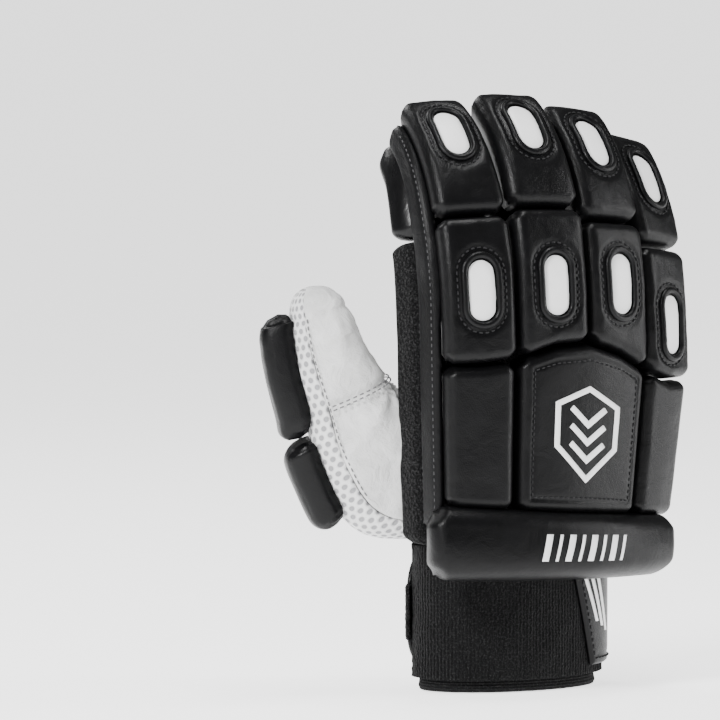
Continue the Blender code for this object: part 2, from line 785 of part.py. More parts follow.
def build_thumb(hand_core):
    """Leather on the inside and the tip, and a strip of open mesh along the back edge and the palm side."""
    stations = thumb_axis()
    for name, angles, material in thumb_panels():
        count = len(angles)
        rows = thumb_rows(angles)
        points = [p for row in rows for p in row]
        faces = grid_faces(len(rows), count)
        inner = []
        for k, row in enumerate(rows):
            centre = stations[min(k, len(stations) - 1)][0]
            inner += [p + (centre - p).normalized() * THUMB_WALL for p in row]
        last = (len(rows) - 1) * count
        tip = thumb_tip()
        points.append(tip)
        inner.append(tip - stations[-1][3] * THUMB_WALL)
        faces += [(last + k, last + k + 1, len(points) - 1) for k in range(count - 1)]
        panel = layered_solid(name, points, inner, faces, material)
        cut_away(panel, hand_core)


def thumb_at(share):
    """The thumb's frame at a share of its stations."""
    stations = thumb_axis()
    position = share * (len(stations) - 1)
    k = min(int(position), len(stations) - 2)
    f = position - k
    first, second = stations[k], stations[k + 1]
    mixed = [a.lerp(b, f) if isinstance(a, Vector) else a + (b - a) * f for a, b in zip(first, second)]
    return mixed


def build_thumb_rolls():
    """Two padded rolls along the thumb's back."""
    for name, start, end in (("thumb_roll_lower", 0.225, 0.45), ("thumb_roll_upper", 0.47, 0.97)):

        def place(i, j, n, start=start, end=end):
            centre, back, across, _, deep, wide = thumb_at(start + (end - start) * j)
            side = (1 - 2 * i) * THUMB_PAD_SHARE
            skin = deep * (1 - abs(side) ** THUMB_SQUARENESS) ** (1 / THUMB_SQUARENESS)
            seat = skin if n == 0.0 else max(skin, deep * 0.93)
            return centre + back * (seat + SEAM_GAP * 4 + n) + across * side * wide

        padded_block(name, place, THUMB_PAD_THICKNESS, BLACK_LEATHER)


def side_seat(s, depth):
    """Where the side padding's inner face lies across the bed: against the hand, then against the index finger."""
    left = stall_halves(0, s)[0] + (NET_PROUD if s < SIDE_LENGTH * 0.41 else HOOD_PROUD) + SEAM_GAP * 2
    beside_finger = CENTRES[0] - left * (1 + depth / ARCH_RADIUS)
    beside_hand = THUMB_EDGE_INSET - SEAM_GAP * 2
    return beside_hand + (beside_finger - beside_hand) * smooth((s / web_at(CENTRES[0]) - 0.53) / 0.6)


def build_side_padding():
    """The padded edge on the thumb side: a smooth strip, a fleecy strip and a roll beside the index finger."""
    rows = (
        ("side_strip", -0.55, 0.40, 0.02, 0.34, 0.24, 0.48, BLACK_LEATHER),
        ("side_fleece", -0.60, 0.40, 0.36, 1.0, 0.50, 1.0, BLACK_TOWEL),
        ("side_roll", 0.42, 0.80, 0.06, 0.92, 0.30, 0.90, BLACK_LEATHER),
    )
    parts = []
    for name, foot, head, near, far, thin, thick, material in rows:

        def place(i, j, n, foot=foot, head=head, near=near, far=far, thin=thin, thick=thick):
            s = SIDE_LENGTH * (foot + (head - foot) * j)
            depth = SIDE_DEPTH * (near + (far - near) * i)
            seat = side_seat(s, depth)
            taper = 1.0 - 0.5 * smooth((s / SIDE_LENGTH - 0.42) / 0.42)
            outer = -SIDE_REACH * (thin + (thick - thin) * i) * taper
            return bed_point(seat + (outer - seat) * n, s, -depth)

        across = ((0.0, 0.5), (0.12, 0.9), (0.5, 1.0), (0.88, 0.9), (1.0, 0.5))
        along = [(0.0, 0.5), (0.03, 0.9)] + [(k / 10, 1.0) for k in range(1, 10)] + [(0.97, 0.9), (1.0, 0.5)]
        parts.append(padded_block(name, place, 1.0, material, across, along))
    return parts


# Cuff

def cuff_wall(name, low, high, proud, wall, material, count=28):
    """A closed oval band standing between two heights. Its outer skin is proud of the cuff's."""
    angles = [2 * math.pi * k / count for k in range(count)]
    outer = [cuff_point(angle, z, proud) for z in (low, high) for angle in angles]
    inner = [cuff_point(angle, z, proud - wall) for z in (low, high) for angle in angles]
    return layered_solid(name, outer, inner, grid_faces(2, count, True), material)


def cuff_patch(name, outline, proud, wall, material):
    """A strip wrapped on the cuff. The outline gives, for shares 0 to 1, low and high angle and height ends."""
    outer = []
    inner = []
    rows = 4
    for angle_low, angle_high, low, high in outline:
        for k in range(rows):
            share = k / (rows - 1)
            angle = angle_low + (angle_high - angle_low) * share
            z = low + (high - low) * share
            outer.append(cuff_point(angle, z, proud + wall))
            inner.append(cuff_point(angle, z, proud))
    return layered_solid(name, outer, inner, grid_faces(len(outline), rows), material)


def build_cuff():
    cuff_wall("cuff_band", CUFF_FOOT, CUFF_TOP, 0.0, TOWEL_WALL, BLACK_TOWEL)
    cuff_wall("cuff_hem", 0.0, HEM_HEIGHT, -TOWEL_WALL - SEAM_GAP * 2, HEM_WALL, BLACK_KNIT)
    start = math.radians(STRAP_START)
    free = math.radians(STRAP_FREE_END)
    outline = []
    for k in range(19):
        share = k / 18
        angle = start + (free - start) * share
        slant = math.radians(STRAP_SLANT) * (1 - share) ** 2
        rounding = max(0.0, (share - 0.9) / 0.1)
        inset = STRAP_WIDTH * 0.5 * (1 - math.sqrt(max(0.0, 1 - (rounding * 0.86) ** 2)))
        outline.append((angle + slant, angle, STRAP_FOOT + inset, STRAP_FOOT + STRAP_WIDTH - inset))
    cuff_patch("strap", outline, SEAM_GAP * 2, STRAP_WALL, WHITE_LEATHER)
    tab_start = free + 0.02
    tab_end = tab_start + TAB_WIDTH / (CUFF_WIDTH / 2)
    middle = STRAP_FOOT + STRAP_WIDTH / 2
    half = STRAP_WIDTH * 0.26
    outline = [(angle, angle, middle - half, middle + half) for angle in spread(tab_start, tab_end, 4)]
    cuff_patch("strap_tab", outline, SEAM_GAP * 2, STRAP_WALL, BLACK_TOWEL)


def build_badge():
    """A raised six-sided frame on the emblem block."""
    edges = column_edges()
    middle = (edges[1] + edges[3]) / 2
    centre = BLOCK_FOOT * 0.53

    def ring(shrink, n):
        half = BADGE_WIDTH / 2 - shrink
        tall = BADGE_HEIGHT / 2 - shrink
        corners = ((0.0, tall), (half, tall * 0.62), (half, -tall * 0.25), (0.0, -tall), (-half, -tall * 0.25), (-half, tall * 0.62))
        return [bed_point(middle + b, centre + s, n) for b, s in corners]

    low = BLOCK_THICKNESS + SEAM_GAP * 2
    high = low + BADGE_RELIEF
    top = ring(0.0, high) + ring(BADGE_LINE, high)
    bottom = ring(0.0, low) + ring(BADGE_LINE, low)
    layered_solid("badge", top, bottom, grid_faces(2, 6, True), WHITE_PANEL)


def build_all():
    build_finger_rolls()
    build_back_blocks()
    build_wrist_roll()
    build_vents()
    build_sleeves()
    build_nets()
    build_hoods()
    hand_core = build_hand_core()
    thumb_core = build_thumb_core()
    panels = [build_palm(), build_back()] + build_side_padding()
    for panel in panels:
        cut_away(panel, thumb_core)
    build_thumb(hand_core)
    build_thumb_rolls()
    build_cuff()
    build_badge()


def stand_on_origin():
    """Move the whole glove so that the middle of its footprint's bounds is the origin."""
    points = [v.co for obj in GLOVE.children if not obj.hide_render for v in obj.data.vertices]
    for axis in (0, 1):
        values = [p[axis] for p in points]
        GLOVE.location[axis] = -(min(values) + max(values)) / 2
    GLOVE.location[2] = -min(p[2] for p in points)


build_all()
stand_on_origin()
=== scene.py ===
"""The looks of a cricket batting glove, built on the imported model's frame. Lengths are in metres."""

import math
from collections import namedtuple

import bmesh
import bpy
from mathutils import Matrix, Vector, noise


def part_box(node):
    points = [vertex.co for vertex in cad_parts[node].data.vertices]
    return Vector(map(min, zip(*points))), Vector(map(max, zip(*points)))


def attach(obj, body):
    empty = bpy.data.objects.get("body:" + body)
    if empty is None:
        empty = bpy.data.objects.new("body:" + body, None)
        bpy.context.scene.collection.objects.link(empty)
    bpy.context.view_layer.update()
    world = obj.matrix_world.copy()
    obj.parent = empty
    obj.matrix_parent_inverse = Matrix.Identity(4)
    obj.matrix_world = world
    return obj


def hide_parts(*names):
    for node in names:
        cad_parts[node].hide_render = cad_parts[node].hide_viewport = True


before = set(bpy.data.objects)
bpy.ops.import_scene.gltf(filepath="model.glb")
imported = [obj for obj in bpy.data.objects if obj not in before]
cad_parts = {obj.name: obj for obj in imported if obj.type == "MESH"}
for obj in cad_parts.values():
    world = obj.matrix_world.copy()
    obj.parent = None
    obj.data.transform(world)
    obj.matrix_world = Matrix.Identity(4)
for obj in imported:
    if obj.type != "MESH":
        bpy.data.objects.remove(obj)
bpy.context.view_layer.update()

# The glove's sizes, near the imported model's and fitted to the photo. Angles are in degrees
SEAM_GAP = 0.0003
KNUCKLE_HEIGHT = 0.1543
BED_DEPTH = 0.018
THUMB_EDGE_X = -0.0397
ARCH_START_ANGLE = -11.0
ARCH_END_ANGLE = 34.0
LEAN_ANGLE = 2.0
CURL_ANGLE = 72.0
CURL_LENGTH = 0.124
CURL_POWER = 1.9
KNUCKLE_DROP = 0.016
WRIST_NARROWING = 1.1
WRIST_SLOPE = 0.30
COLUMN_WIDTH = 0.033
COLUMN_GAP = 0.0016
ROLL_GAP = 0.0010
LOWER_ROLL_LENGTH = 0.0625
UPPER_ROLL_LENGTH = 0.058
ROLL_THICKNESS = 0.0155
TIP_NARROWING = 0.9
TUBE_WIDTH = 0.025
TUBE_DEPTH = 0.022
WEB_START = 0.026
FLARE_LENGTH = 0.013
STRIP_END = 0.062
NET_LENGTH = 0.021
NET_PROUD = 0.0011
HOOD_PROUD = 0.002
DOME_LENGTH = 0.011
STRIP_HALF_ANGLE = 54.0
CROTCH_GAP = 0.001
STALL_GAP = 0.0009
FLARED_SQUARENESS = 6.0
STALL_SQUARENESS = 2.7
HAND_DEPTH = 0.031
THUMB_EDGE_INSET = 0.0005
LITTLE_EDGE_INSET = 0.003
HAND_SQUARENESS = 5.0
DEPTH_BLEND = 0.033
CUFF_BLEND = 0.036
BLOCK_THICKNESS = 0.0145
BLOCK_FOOT = -0.0662
EMBLEM_PEAK = 0.0065
WRIST_ROLL_THICKNESS = 0.021
WRIST_ROLL_HEIGHT = 0.0345
WRIST_ROLL_OVERHANG = 0.0095
SIDE_REACH = 0.0185
SIDE_DEPTH = 0.020
SIDE_LENGTH = 0.138
VENT_WIDTH = 0.0122
VENT_LENGTH = 0.0265
RIM_WIDTH = 0.0031
CUFF_WIDTH = 0.092
CUFF_DEPTH = 0.056
CUFF_CENTRE_X = 0.009
CUFF_CENTRE_Y = 0.0150
CUFF_TOP = 0.066
CUFF_FOOT = 0.006
HEM_HEIGHT = 0.020
TOWEL_WALL = 0.003
STRAP_WALL = 0.0024
STRAP_LENGTH = 0.245
STRAP_WIDTH = 0.050
STRAP_FOOT = 0.010
STRAP_START = 24.0
STRAP_SLANT = 18.0
STRAP_FREE_END = 246.0
TAB_WIDTH = 0.012
THUMB_PAD_THICKNESS = 0.0125
THUMB_PAD_SHARE = 0.64
THUMB_SQUARENESS = 2.4
THUMB_SEAMS = (62.0, 232.0)
THUMB_BACK_ANGLE = 109.0
THUMB_REACH = 0.079
THUMB_HEIGHT = 0.172
THUMB_DEPTH = 0.031
THUMB_HALF = 0.0245

Finger = namedtuple("Finger", "name width drop lower upper stall strip low_vent top_vent")
FINGERS = (
    Finger("index", 0.96, 0.25, 1.02, 1.03, 1.00, 1.00, 0.50, 0.60),
    Finger("middle", 1.02, 0.00, 1.00, 1.00, 1.00, 1.03, 0.47, 0.60),
    Finger("ring", 0.98, 0.30, 0.96, 0.98, 0.98, 1.00, 0.55, 0.59),
    Finger("little", 0.89, 1.00, 0.93, 0.93, 0.90, 1.02, 0.42, 0.54),
)
ThumbStation = namedtuple("ThumbStation", "reach height depth back across")
THUMB_STATIONS = (
    ThumbStation(0.278, 0.488, 0.420, 0.65, 0.46),
    ThumbStation(0.557, 0.547, 0.690, 1.14, 0.70),
    ThumbStation(0.734, 0.663, 0.780, 1.02, 0.76),
    ThumbStation(0.861, 0.797, 0.845, 0.80, 0.735),
    ThumbStation(0.943, 0.895, 0.910, 0.69, 0.67),
    ThumbStation(0.981, 0.965, 0.960, 0.61, 0.61),
    ThumbStation(1.000, 1.000, 0.980, 0.51, 0.55),
)

hem_low, hem_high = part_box("cuff_hem")
SHIFT = Vector(
    ((hem_low[0] + hem_high[0]) / 2 - CUFF_CENTRE_X, (hem_low[1] + hem_high[1]) / 2 - CUFF_CENTRE_Y, 0.0)
)


# The curved bed that everything is placed on

def smooth(share):
    share = max(0.0, min(1.0, share))
    return share * share * (3 - 2 * share)


def mix(points, values, x):
    """Linear interpolation of values over rising points."""
    if x <= points[0]:
        return values[0]
    for k in range(1, len(points)):
        if x <= points[k]:
            f = (x - points[k - 1]) / (points[k] - points[k - 1])
            return values[k - 1] + (values[k] - values[k - 1]) * f
    return values[-1]


def ridge(x, width):
    """A soft ridge of height 1 at x = 0."""
    return math.exp(-(x / width) ** 2)


def spread(start, end, count):
    return [start + (end - start) * k / (count - 1) for k in range(count)]


def column_centres():
    centres = []
    edge = 0.0
    for finger in FINGERS:
        width = finger.width * COLUMN_WIDTH
        centres.append(edge + width / 2)
        edge += width + COLUMN_GAP
    return centres, edge - COLUMN_GAP


CENTRES, BED_WIDTH = column_centres()
ARCH_RATE = math.radians(ARCH_END_ANGLE - ARCH_START_ANGLE) / BED_WIDTH
ARCH_RADIUS = 1 / ARCH_RATE
HAND_FOOT = -(KNUCKLE_HEIGHT - CUFF_TOP) + SEAM_GAP
HAND_HALF = (BED_WIDTH - THUMB_EDGE_INSET - LITTLE_EDGE_INSET) / 2
HAND_MIDDLE = THUMB_EDGE_INSET + HAND_HALF
EDGES = [0.0] + [
    c + (f.width * COLUMN_WIDTH + COLUMN_GAP) / 2
    for c, f in zip(CENTRES[:-1], FINGERS)
] + [BED_WIDTH]


def arch(u):
    start = math.radians(ARCH_START_ANGLE)
    angle = start + ARCH_RATE * u
    across = (math.sin(angle) - math.sin(start)) * ARCH_RADIUS
    return THUMB_EDGE_X + across, -BED_DEPTH + (1 - math.cos(angle)) * ARCH_RADIUS, angle


PROFILE = [(0.0, 0.0)]
PROFILE_STEP = 0.0005


def curl_angle(s):
    return math.radians(LEAN_ANGLE + (CURL_ANGLE - LEAN_ANGLE) * (max(s, 0.0) / CURL_LENGTH) ** CURL_POWER)


for step in range(400):
    angle = curl_angle((step + 0.5) * PROFILE_STEP)
    PROFILE.append(
        (PROFILE[-1][0] + math.sin(angle) * PROFILE_STEP, PROFILE[-1][1] + math.cos(angle) * PROFILE_STEP)
    )


def profile(s):
    angle = curl_angle(s)
    if s <= 0:
        return s * math.sin(angle), s * math.cos(angle), angle
    k = min(int(s / PROFILE_STEP), len(PROFILE) - 2)
    f = s / PROFILE_STEP - k
    low, high = PROFILE[k], PROFILE[k + 1]
    return low[0] + (high[0] - low[0]) * f, low[1] + (high[1] - low[1]) * f, angle


def frame_at(theta, phi):
    along = Vector((0.0, math.sin(phi), math.cos(phi)))
    across = Vector((math.cos(theta), math.sin(theta), 0.0))
    across = (across - across.dot(along) * along).normalized()
    return across, across.cross(along), along


def narrowing(s):
    return 1.0 + min(s, 0.0) * WRIST_NARROWING


def drop_at(u):
    return mix(CENTRES, [f.drop for f in FINGERS], u) * KNUCKLE_DROP


def knuckle_peak(u):
    half = (EDGES[3] - EDGES[1]) / 2
    return EMBLEM_PEAK * max(0.0, 1 - abs(u - EDGES[1] - half) / half)


def straight_drop(u):
    """The drop whose line runs straight across the back, for the blocks' feet and the wrist roll."""
    return KNUCKLE_DROP * (0.12 + 0.88 * max(0.0, min(1.0, u / BED_WIDTH)))


def foot_at(u):
    return BLOCK_FOOT + (drop_at(u) - straight_drop(u)) * (1 + BLOCK_FOOT / WRIST_SLOPE)


def bed_point(u, s, n, drop=None):
    if drop is None:
        drop = drop_at(u)
    x, y, theta = arch(u)
    depth, rise, phi = profile(s)
    _, outward, _ = frame_at(theta, phi)
    x = THUMB_EDGE_X + (x - THUMB_EDGE_X) * narrowing(s)
    share = min(1.0, max(0.0, 1.0 + s / WRIST_SLOPE))
    return Vector((x, y + depth, KNUCKLE_HEIGHT - drop * share + rise)) + n * outward + SHIFT


def column_point(index, b, s, n):
    u = CENTRES[index]
    across, _, _ = frame_at(arch(u)[2], profile(s)[2])
    return bed_point(u, s, n, FINGERS[index].drop * KNUCKLE_DROP) + b * narrowing(s) * across


def outward_at(u, s):
    return frame_at(arch(u)[2], profile(s)[2])[1]


def roll_width(index, s):
    share = max(0.0, min(1.0, (s - LOWER_ROLL_LENGTH) / UPPER_ROLL_LENGTH))
    return (FINGERS[index].width * COLUMN_WIDTH + 0.0008) * (1 - (1 - TIP_NARROWING) * share)


def roll_limits(index, part):
    finger = FINGERS[index]
    joint = finger.lower * LOWER_ROLL_LENGTH
    if part == "lower":
        return ROLL_GAP / 2, joint - ROLL_GAP / 2
    return joint + ROLL_GAP / 2, joint + finger.upper * UPPER_ROLL_LENGTH


def roll_foot(index, u):
    """How far a lower roll's foot is moved along, to meet the blocks under it."""
    return FINGERS[index].drop * KNUCKLE_DROP - drop_at(u) + knuckle_peak(u)


def signed_power(value, power):
    return math.copysign(abs(value) ** power, value)


def web_at(u):
    return WEB_START + drop_at(u)


def strip_end(index):
    return FINGERS[index].strip * STRIP_END


def flare_share(index, s):
    return smooth((s - web_at(CENTRES[index])) / FLARE_LENGTH)


def stall_halves(index, s):
    size = FINGERS[index].stall
    share = flare_share(index, s)
    plain = TUBE_WIDTH / 2 * size * (1 - 0.08 * max(0.0, s - STRIP_END) / UPPER_ROLL_LENGTH)
    half = (FINGERS[index].width * COLUMN_WIDTH + COLUMN_GAP) / 2 - CROTCH_GAP / 2
    flared = half * (1 - TUBE_DEPTH / 2 / ARCH_RADIUS)
    left = plain if index == 0 else flared + (plain - flared) * share
    right = plain if index == len(FINGERS) - 1 else flared + (plain - flared) * share
    return left, right, TUBE_DEPTH / 2, FLARED_SQUARENESS + (STALL_SQUARENESS - FLARED_SQUARENESS) * share


def stall_point(index, s, angle, proud=0.0):
    left, right, deep, squareness = stall_halves(index, s)
    power = 2 / squareness
    wide = (right if math.sin(angle) > 0 else left) + proud
    low = deep + proud / 2
    n = -STALL_GAP - low * (1 - signed_power(-math.cos(angle), power))
    wedge = 1 + (n + STALL_GAP + deep) / ARCH_RADIUS * (1 - flare_share(index, s))
    return column_point(index, wide * signed_power(math.sin(angle), power) * wedge, s, n)


def stall_centre(index, s):
    return column_point(index, 0.0, s, -STALL_GAP - TUBE_DEPTH / 2)


def stall_spot(index, s, angle, proud):
    """A point of the stall's skin and the direction out of it."""
    p = stall_point(index, s, angle, proud)
    return p, (p - stall_centre(index, s)).normalized()


def cuff_point(angle, z, proud=0.0):
    x = CUFF_CENTRE_X + (CUFF_WIDTH / 2 + proud) * math.sin(angle)
    y = CUFF_CENTRE_Y - (CUFF_DEPTH / 2 + proud) * math.cos(angle)
    return Vector((x, y, z)) + SHIFT


def around(t):
    return max(0.0, 1 - abs(t) ** HAND_SQUARENESS) ** (1 / HAND_SQUARENESS)


def hand_point(t, m, row):
    """A point of the hand's skin: t across and m from palm to back, from -1 to 1, row from cuff to web."""
    u = HAND_MIDDLE + t * HAND_HALF
    web = web_at(u)
    s = HAND_FOOT + (web - HAND_FOOT) * row
    depth = HAND_DEPTH + (TUBE_DEPTH - HAND_DEPTH) * smooth(1 + (s - web) / DEPTH_BLEND)
    hand = bed_point(u, s, -SEAM_GAP - depth * (1 - m) / 2)
    share = smooth((CUFF_TOP + CUFF_BLEND - hand.z) / CUFF_BLEND)
    cuff = cuff_point(math.atan2(t, m), CUFF_TOP + SEAM_GAP + max(0.0, s - HAND_FOOT) * 0.6)
    return hand.lerp(cuff, share)


def hand_column(index, angle):
    left, right, _, squareness = stall_halves(index, web_at(CENTRES[index]))
    b = (right if math.sin(angle) > 0 else left) * signed_power(math.sin(angle), 2 / squareness)
    t = (CENTRES[index] + b - HAND_MIDDLE) / HAND_HALF
    return t, math.copysign(around(t), -math.cos(angle))


# Mesh helpers

def finish_mesh(name, verts, faces, material, uvs=None, stands_for=None):
    """Makes the object, with its body and the solid that it stands for."""
    mesh = bpy.data.meshes.new(name)
    mesh.from_pydata([tuple(v) for v in verts], [], faces)
    if uvs:
        layer = mesh.uv_layers.new(name="surface")
        for loop in mesh.loops:
            layer.data[loop.index].uv = uvs[loop.vertex_index]
    mesh.materials.append(material)
    bm = bmesh.new()
    bm.from_mesh(mesh)
    bmesh.ops.recalc_face_normals(bm, faces=bm.faces)
    bm.to_mesh(mesh)
    bm.free()
    mesh.shade_smooth()
    obj = bpy.data.objects.new(name, mesh)
    bpy.context.scene.collection.objects.link(obj)
    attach(obj, "root")
    if stands_for:
        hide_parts(stands_for)
    return obj


def grid_uvs(rows):
    """Arc lengths across and along a grid, so that patterns keep their real scale."""
    middle = rows[len(rows) // 2]
    us = [0.0]
    for a, b in zip(middle, middle[1:]):
        us.append(us[-1] + (b - a).length)
    column = len(middle) // 2
    vs = [0.0]
    for a, b in zip(rows, rows[1:]):
        vs.append(vs[-1] + (b[column] - a[column]).length)
    return [(u, v) for v in vs for u in us]


def grid_normals(rows, closed=False):
    """Surface normals of a grid, by differences between neighbours."""
    normals = []
    count = len(rows[0])
    for i, row in enumerate(rows):
        above, below = rows[min(i + 1, len(rows) - 1)], rows[max(i - 1, 0)]
        line = []
        for j in range(count):
            if closed:
                right, left = row[(j + 1) % count], row[j - 1]
            else:
                right, left = row[min(j + 1, count - 1)], row[max(j - 1, 0)]
            line.append((right - left).cross(above[j] - below[j]).normalized())
        normals.append(line)
    return normals


def grid_faces(rows, columns, closed=False):
    faces = []
    for i in range(rows - 1):
        for j in range(columns if closed else columns - 1):
            k = (j + 1) % columns
            a = i * columns
            b = a + columns
            faces.append((a + j, a + k, b + k, b + j))
    return faces


def slab_faces(rows, columns):
    """A grid, the grid under it, whose points come after the first one's, and the rim between them."""
    total = rows * columns
    faces = grid_faces(rows, columns)
    faces += [tuple(k + total for k in reversed(f)) for f in faces]
    ring = list(range(columns)) + [(r + 1) * columns + columns - 1 for r in range(rows - 1)]
    ring += [(rows - 1) * columns + k for k in range(columns - 2, -1, -1)]
    ring += [r * columns for r in range(rows - 2, 0, -1)]
    return faces + [(b, a, a + total, b + total) for a, b in zip(ring, ring[1:] + ring[:1])]


def sweep(verts, faces, rings, closed=False):
    """Adds a solid through rings of points, with flat ends unless it is closed."""
    start, sides, count = len(verts), len(rings[0]), len(rings)
    for ring in rings:
        verts.extend(ring)
    for k in range(count if closed else count - 1):
        n = (k + 1) % count
        for m in range(sides):
            r = (m + 1) % sides
            faces.append(tuple(start + v for v in (k * sides + m, k * sides + r, n * sides + r, n * sides + m)))
    if not closed:
        faces.append(tuple(start + m for m in reversed(range(sides))))
        faces.append(tuple(start + (count - 1) * sides + m for m in range(sides)))


def flat_bar(verts, faces, place, steps, lifts):
    """Adds a flat raised bar. place(share, side, lift) is a point along it, on its side 0 or 1."""
    base, size = len(verts), 2 * (steps + 1)
    verts += [place(k / steps, side, lift) for lift in lifts for k in range(steps + 1) for side in (0, 1)]
    for k in range(steps):
        p = base + 2 * k
        faces.append((p, p + 1, p + 3, p + 2))
        faces.append((p + size, p + size + 2, p + size + 3, p + size + 1))
        faces.append((p, p + 2, p + size + 2, p + size))
        faces.append((p + 1, p + size + 1, p + size + 3, p + 3))
    faces.append((base, base + size, base + size + 1, base + 1))
    p = base + 2 * steps
    faces.append((p, p + 1, p + size + 1, p + size))


def shell(name, rows, wall, material, closed=False, flip=False, lift=None, stands_for=None):
    """A wall behind a grid of points. A closed grid's last column repeats its first. flip swaps its sides."""
    uvs = grid_uvs(rows)
    if closed:
        rows = [row[:-1] for row in rows]

    def normals_of(grid):
        return [[-n if flip else n for n in line] for line in grid_normals(grid, closed)]

    normals = normals_of(rows)
    if lift:
        rows = [
            [p + n * lift(i, j, p) for j, (p, n) in enumerate(zip(row, line))]
            for i, (row, line) in enumerate(zip(rows, normals))
        ]
        normals = normals_of(rows)
    count = len(rows[0])
    outer = [p for row in rows for p in row]
    inner = [p - n * wall for row, line in zip(rows, normals) for p, n in zip(row, line)]
    faces = grid_faces(len(rows), count, closed)
    total = len(outer)
    edges = {(a, b): True for face in faces for a, b in zip(face, face[1:] + face[:1])}
    walls = [(b, a, a + total, b + total) for a, b in edges if (b, a) not in edges]
    inside = [tuple(k + total for k in reversed(f)) for f in faces]
    obj = finish_mesh(name, outer + inner, faces + inside + walls, material, stands_for=stands_for)
    layer = obj.data.uv_layers.new(name="surface")
    width = count + 1 if closed else count
    for polygon in obj.data.polygons:
        columns = [obj.data.loops[k].vertex_index % total % count for k in polygon.loop_indices]
        wraps = closed and max(columns) == count - 1 and min(columns) == 0
        for k, column in zip(polygon.loop_indices, columns):
            row = obj.data.loops[k].vertex_index % total // count
            layer.data[k].uv = uvs[row * width + (count if wraps and column == 0 else column)]
    return obj


def pad(name, stands_for, place, height, across, along, material, corner=0.005):
    """A stuffed pad. place(i, j, n) is a point, height(i, j) the top's height, both over shares from 0 to 1."""
    wide = (place(1.0, 0.5, 0.0) - place(0.0, 0.5, 0.0)).length
    long = (place(0.5, 1.0, 0.0) - place(0.5, 0.0, 0.0)).length

    def drawn_in(i, j, n):
        """The corners are drawn in, so that the outline is round there."""
        from_side, from_end = min(i, 1 - i) * wide, min(j, 1 - j) * long
        pull = 0.3 * corner * smooth(1 - from_side / corner) * smooth(1 - from_end / corner)
        return place(i + math.copysign(pull / wide, 0.5 - i), j + math.copysign(pull / long, 0.5 - j), n)

    rows = [[drawn_in(i, j, height(i, j)) for i in across] for j in along]
    verts = [p for row in rows for p in row]
    verts += [drawn_in(0.5 + (i - 0.5) * 0.97, 0.5 + (j - 0.5) * 0.98, 0.0) for j in along for i in across]
    faces = slab_faces(len(along), len(across))
    obj = finish_mesh(name, verts, faces, material, uvs=grid_uvs(rows) * 2, stands_for=stands_for)


def even(count, edge=0.0):
    """Shares from 0 to 1, closer together at both ends."""
    shares = spread(0.0, 1.0, count)
    return [s - edge * math.sin(2 * math.pi * s) / (2 * math.pi) for s in shares]


def rounded(distance, radius, power=2.3):
    """The height of a rounded edge, from 0 at the edge to 1 past its radius."""
    share = max(0.0, min(1.0, distance / radius))
    return (1 - (1 - share) ** power) ** (1 / power)


def piped_ring(name, stands_for, line, radius, material):
    """A slightly flat piped ring along points with normals."""
    sides, flat = 10, 0.85
    rings = []
    for k, (p, up) in enumerate(line):
        along = (line[(k + 1) % len(line)][0] - line[k - 1][0]).normalized()
        side = along.cross(up).normalized()
        up = side.cross(along)
        angles = [2 * math.pi * m / sides for m in range(sides)]
        rings.append([p + side * math.cos(a) * radius + up * math.sin(a) * radius * flat for a in angles])
    verts, faces = [], []
    sweep(verts, faces, rings, closed=True)
    finish_mesh(name, verts, faces, material, stands_for=stands_for)


def stitches(name, lines, material, length=0.0021, pitch=0.0033, width=0.00042, lift=0.00015):
    """Rows of short raised threads along lines of points with normals."""
    verts, faces = [], []
    corners = [2 * math.pi * c / 6 for c in range(6)]
    for line in lines:
        points = [p for p, _ in line]
        reach = [0.0]
        for a, b in zip(points, points[1:]):
            reach.append(reach[-1] + (b - a).length)
        count = int(reach[-1] / pitch)
        for k in range(count):
            at = (k + 0.5) * reach[-1] / max(count, 1)
            m = next((i for i in range(1, len(reach)) if reach[i] >= at), len(reach) - 1)
            f = (at - reach[m - 1]) / max(reach[m] - reach[m - 1], 1e-9)
            middle = points[m - 1].lerp(points[m], f)
            up = line[m - 1][1].lerp(line[m][1], f).normalized()
            along = (points[m] - points[m - 1]).normalized()
            side = along.cross(up).normalized()
            rings = []
            for share, size in ((-0.5, 0.35), (-0.36, 1.0), (0.36, 1.0), (0.5, 0.35)):
                base = middle + along * length * share
                sink = lift if size == 1.0 else -0.0002
                rings.append(
                    [base + (side * math.cos(a) + up * math.sin(a)) * width * size + up * sink for a in corners]
                )
            sweep(verts, faces, rings)
    finish_mesh(name, verts, faces, material)


# Materials

def new_material(name, colour, roughness, specular=0.5, sheen=0.0):
    material = bpy.data.materials.new(name)
    material.use_nodes = True
    shader = material.node_tree.nodes["Principled BSDF"]
    shader.inputs["Base Color"].default_value = (*colour, 1.0)
    shader.inputs["Roughness"].default_value = roughness
    shader.inputs["Specular IOR Level"].default_value = specular
    shader.inputs["Sheen Weight"].default_value = sheen
    material.diffuse_color = (*colour, 1.0)
    return material


def node(material, kind, **values):
    made = material.node_tree.nodes.new(kind)
    for name, value in values.items():
        if name in made.inputs:
            made.inputs[name].default_value = value
        else:
            setattr(made, name, value)
    return made


def link(material, source, out, target, into):
    material.node_tree.links.new(source.outputs[out], target.inputs[into])


def colour_ramp(material, source, out, stops):
    ramp = material.node_tree.nodes.new("ShaderNodeValToRGB")
    while len(ramp.color_ramp.elements) < len(stops):
        ramp.color_ramp.elements.new(0.5)
    for element, (position, colour) in zip(ramp.color_ramp.elements, stops):
        element.position = position
        element.color = (*colour, 1.0) if len(colour) == 3 else colour
    link(material, source, out, ramp, "Fac")
    return ramp


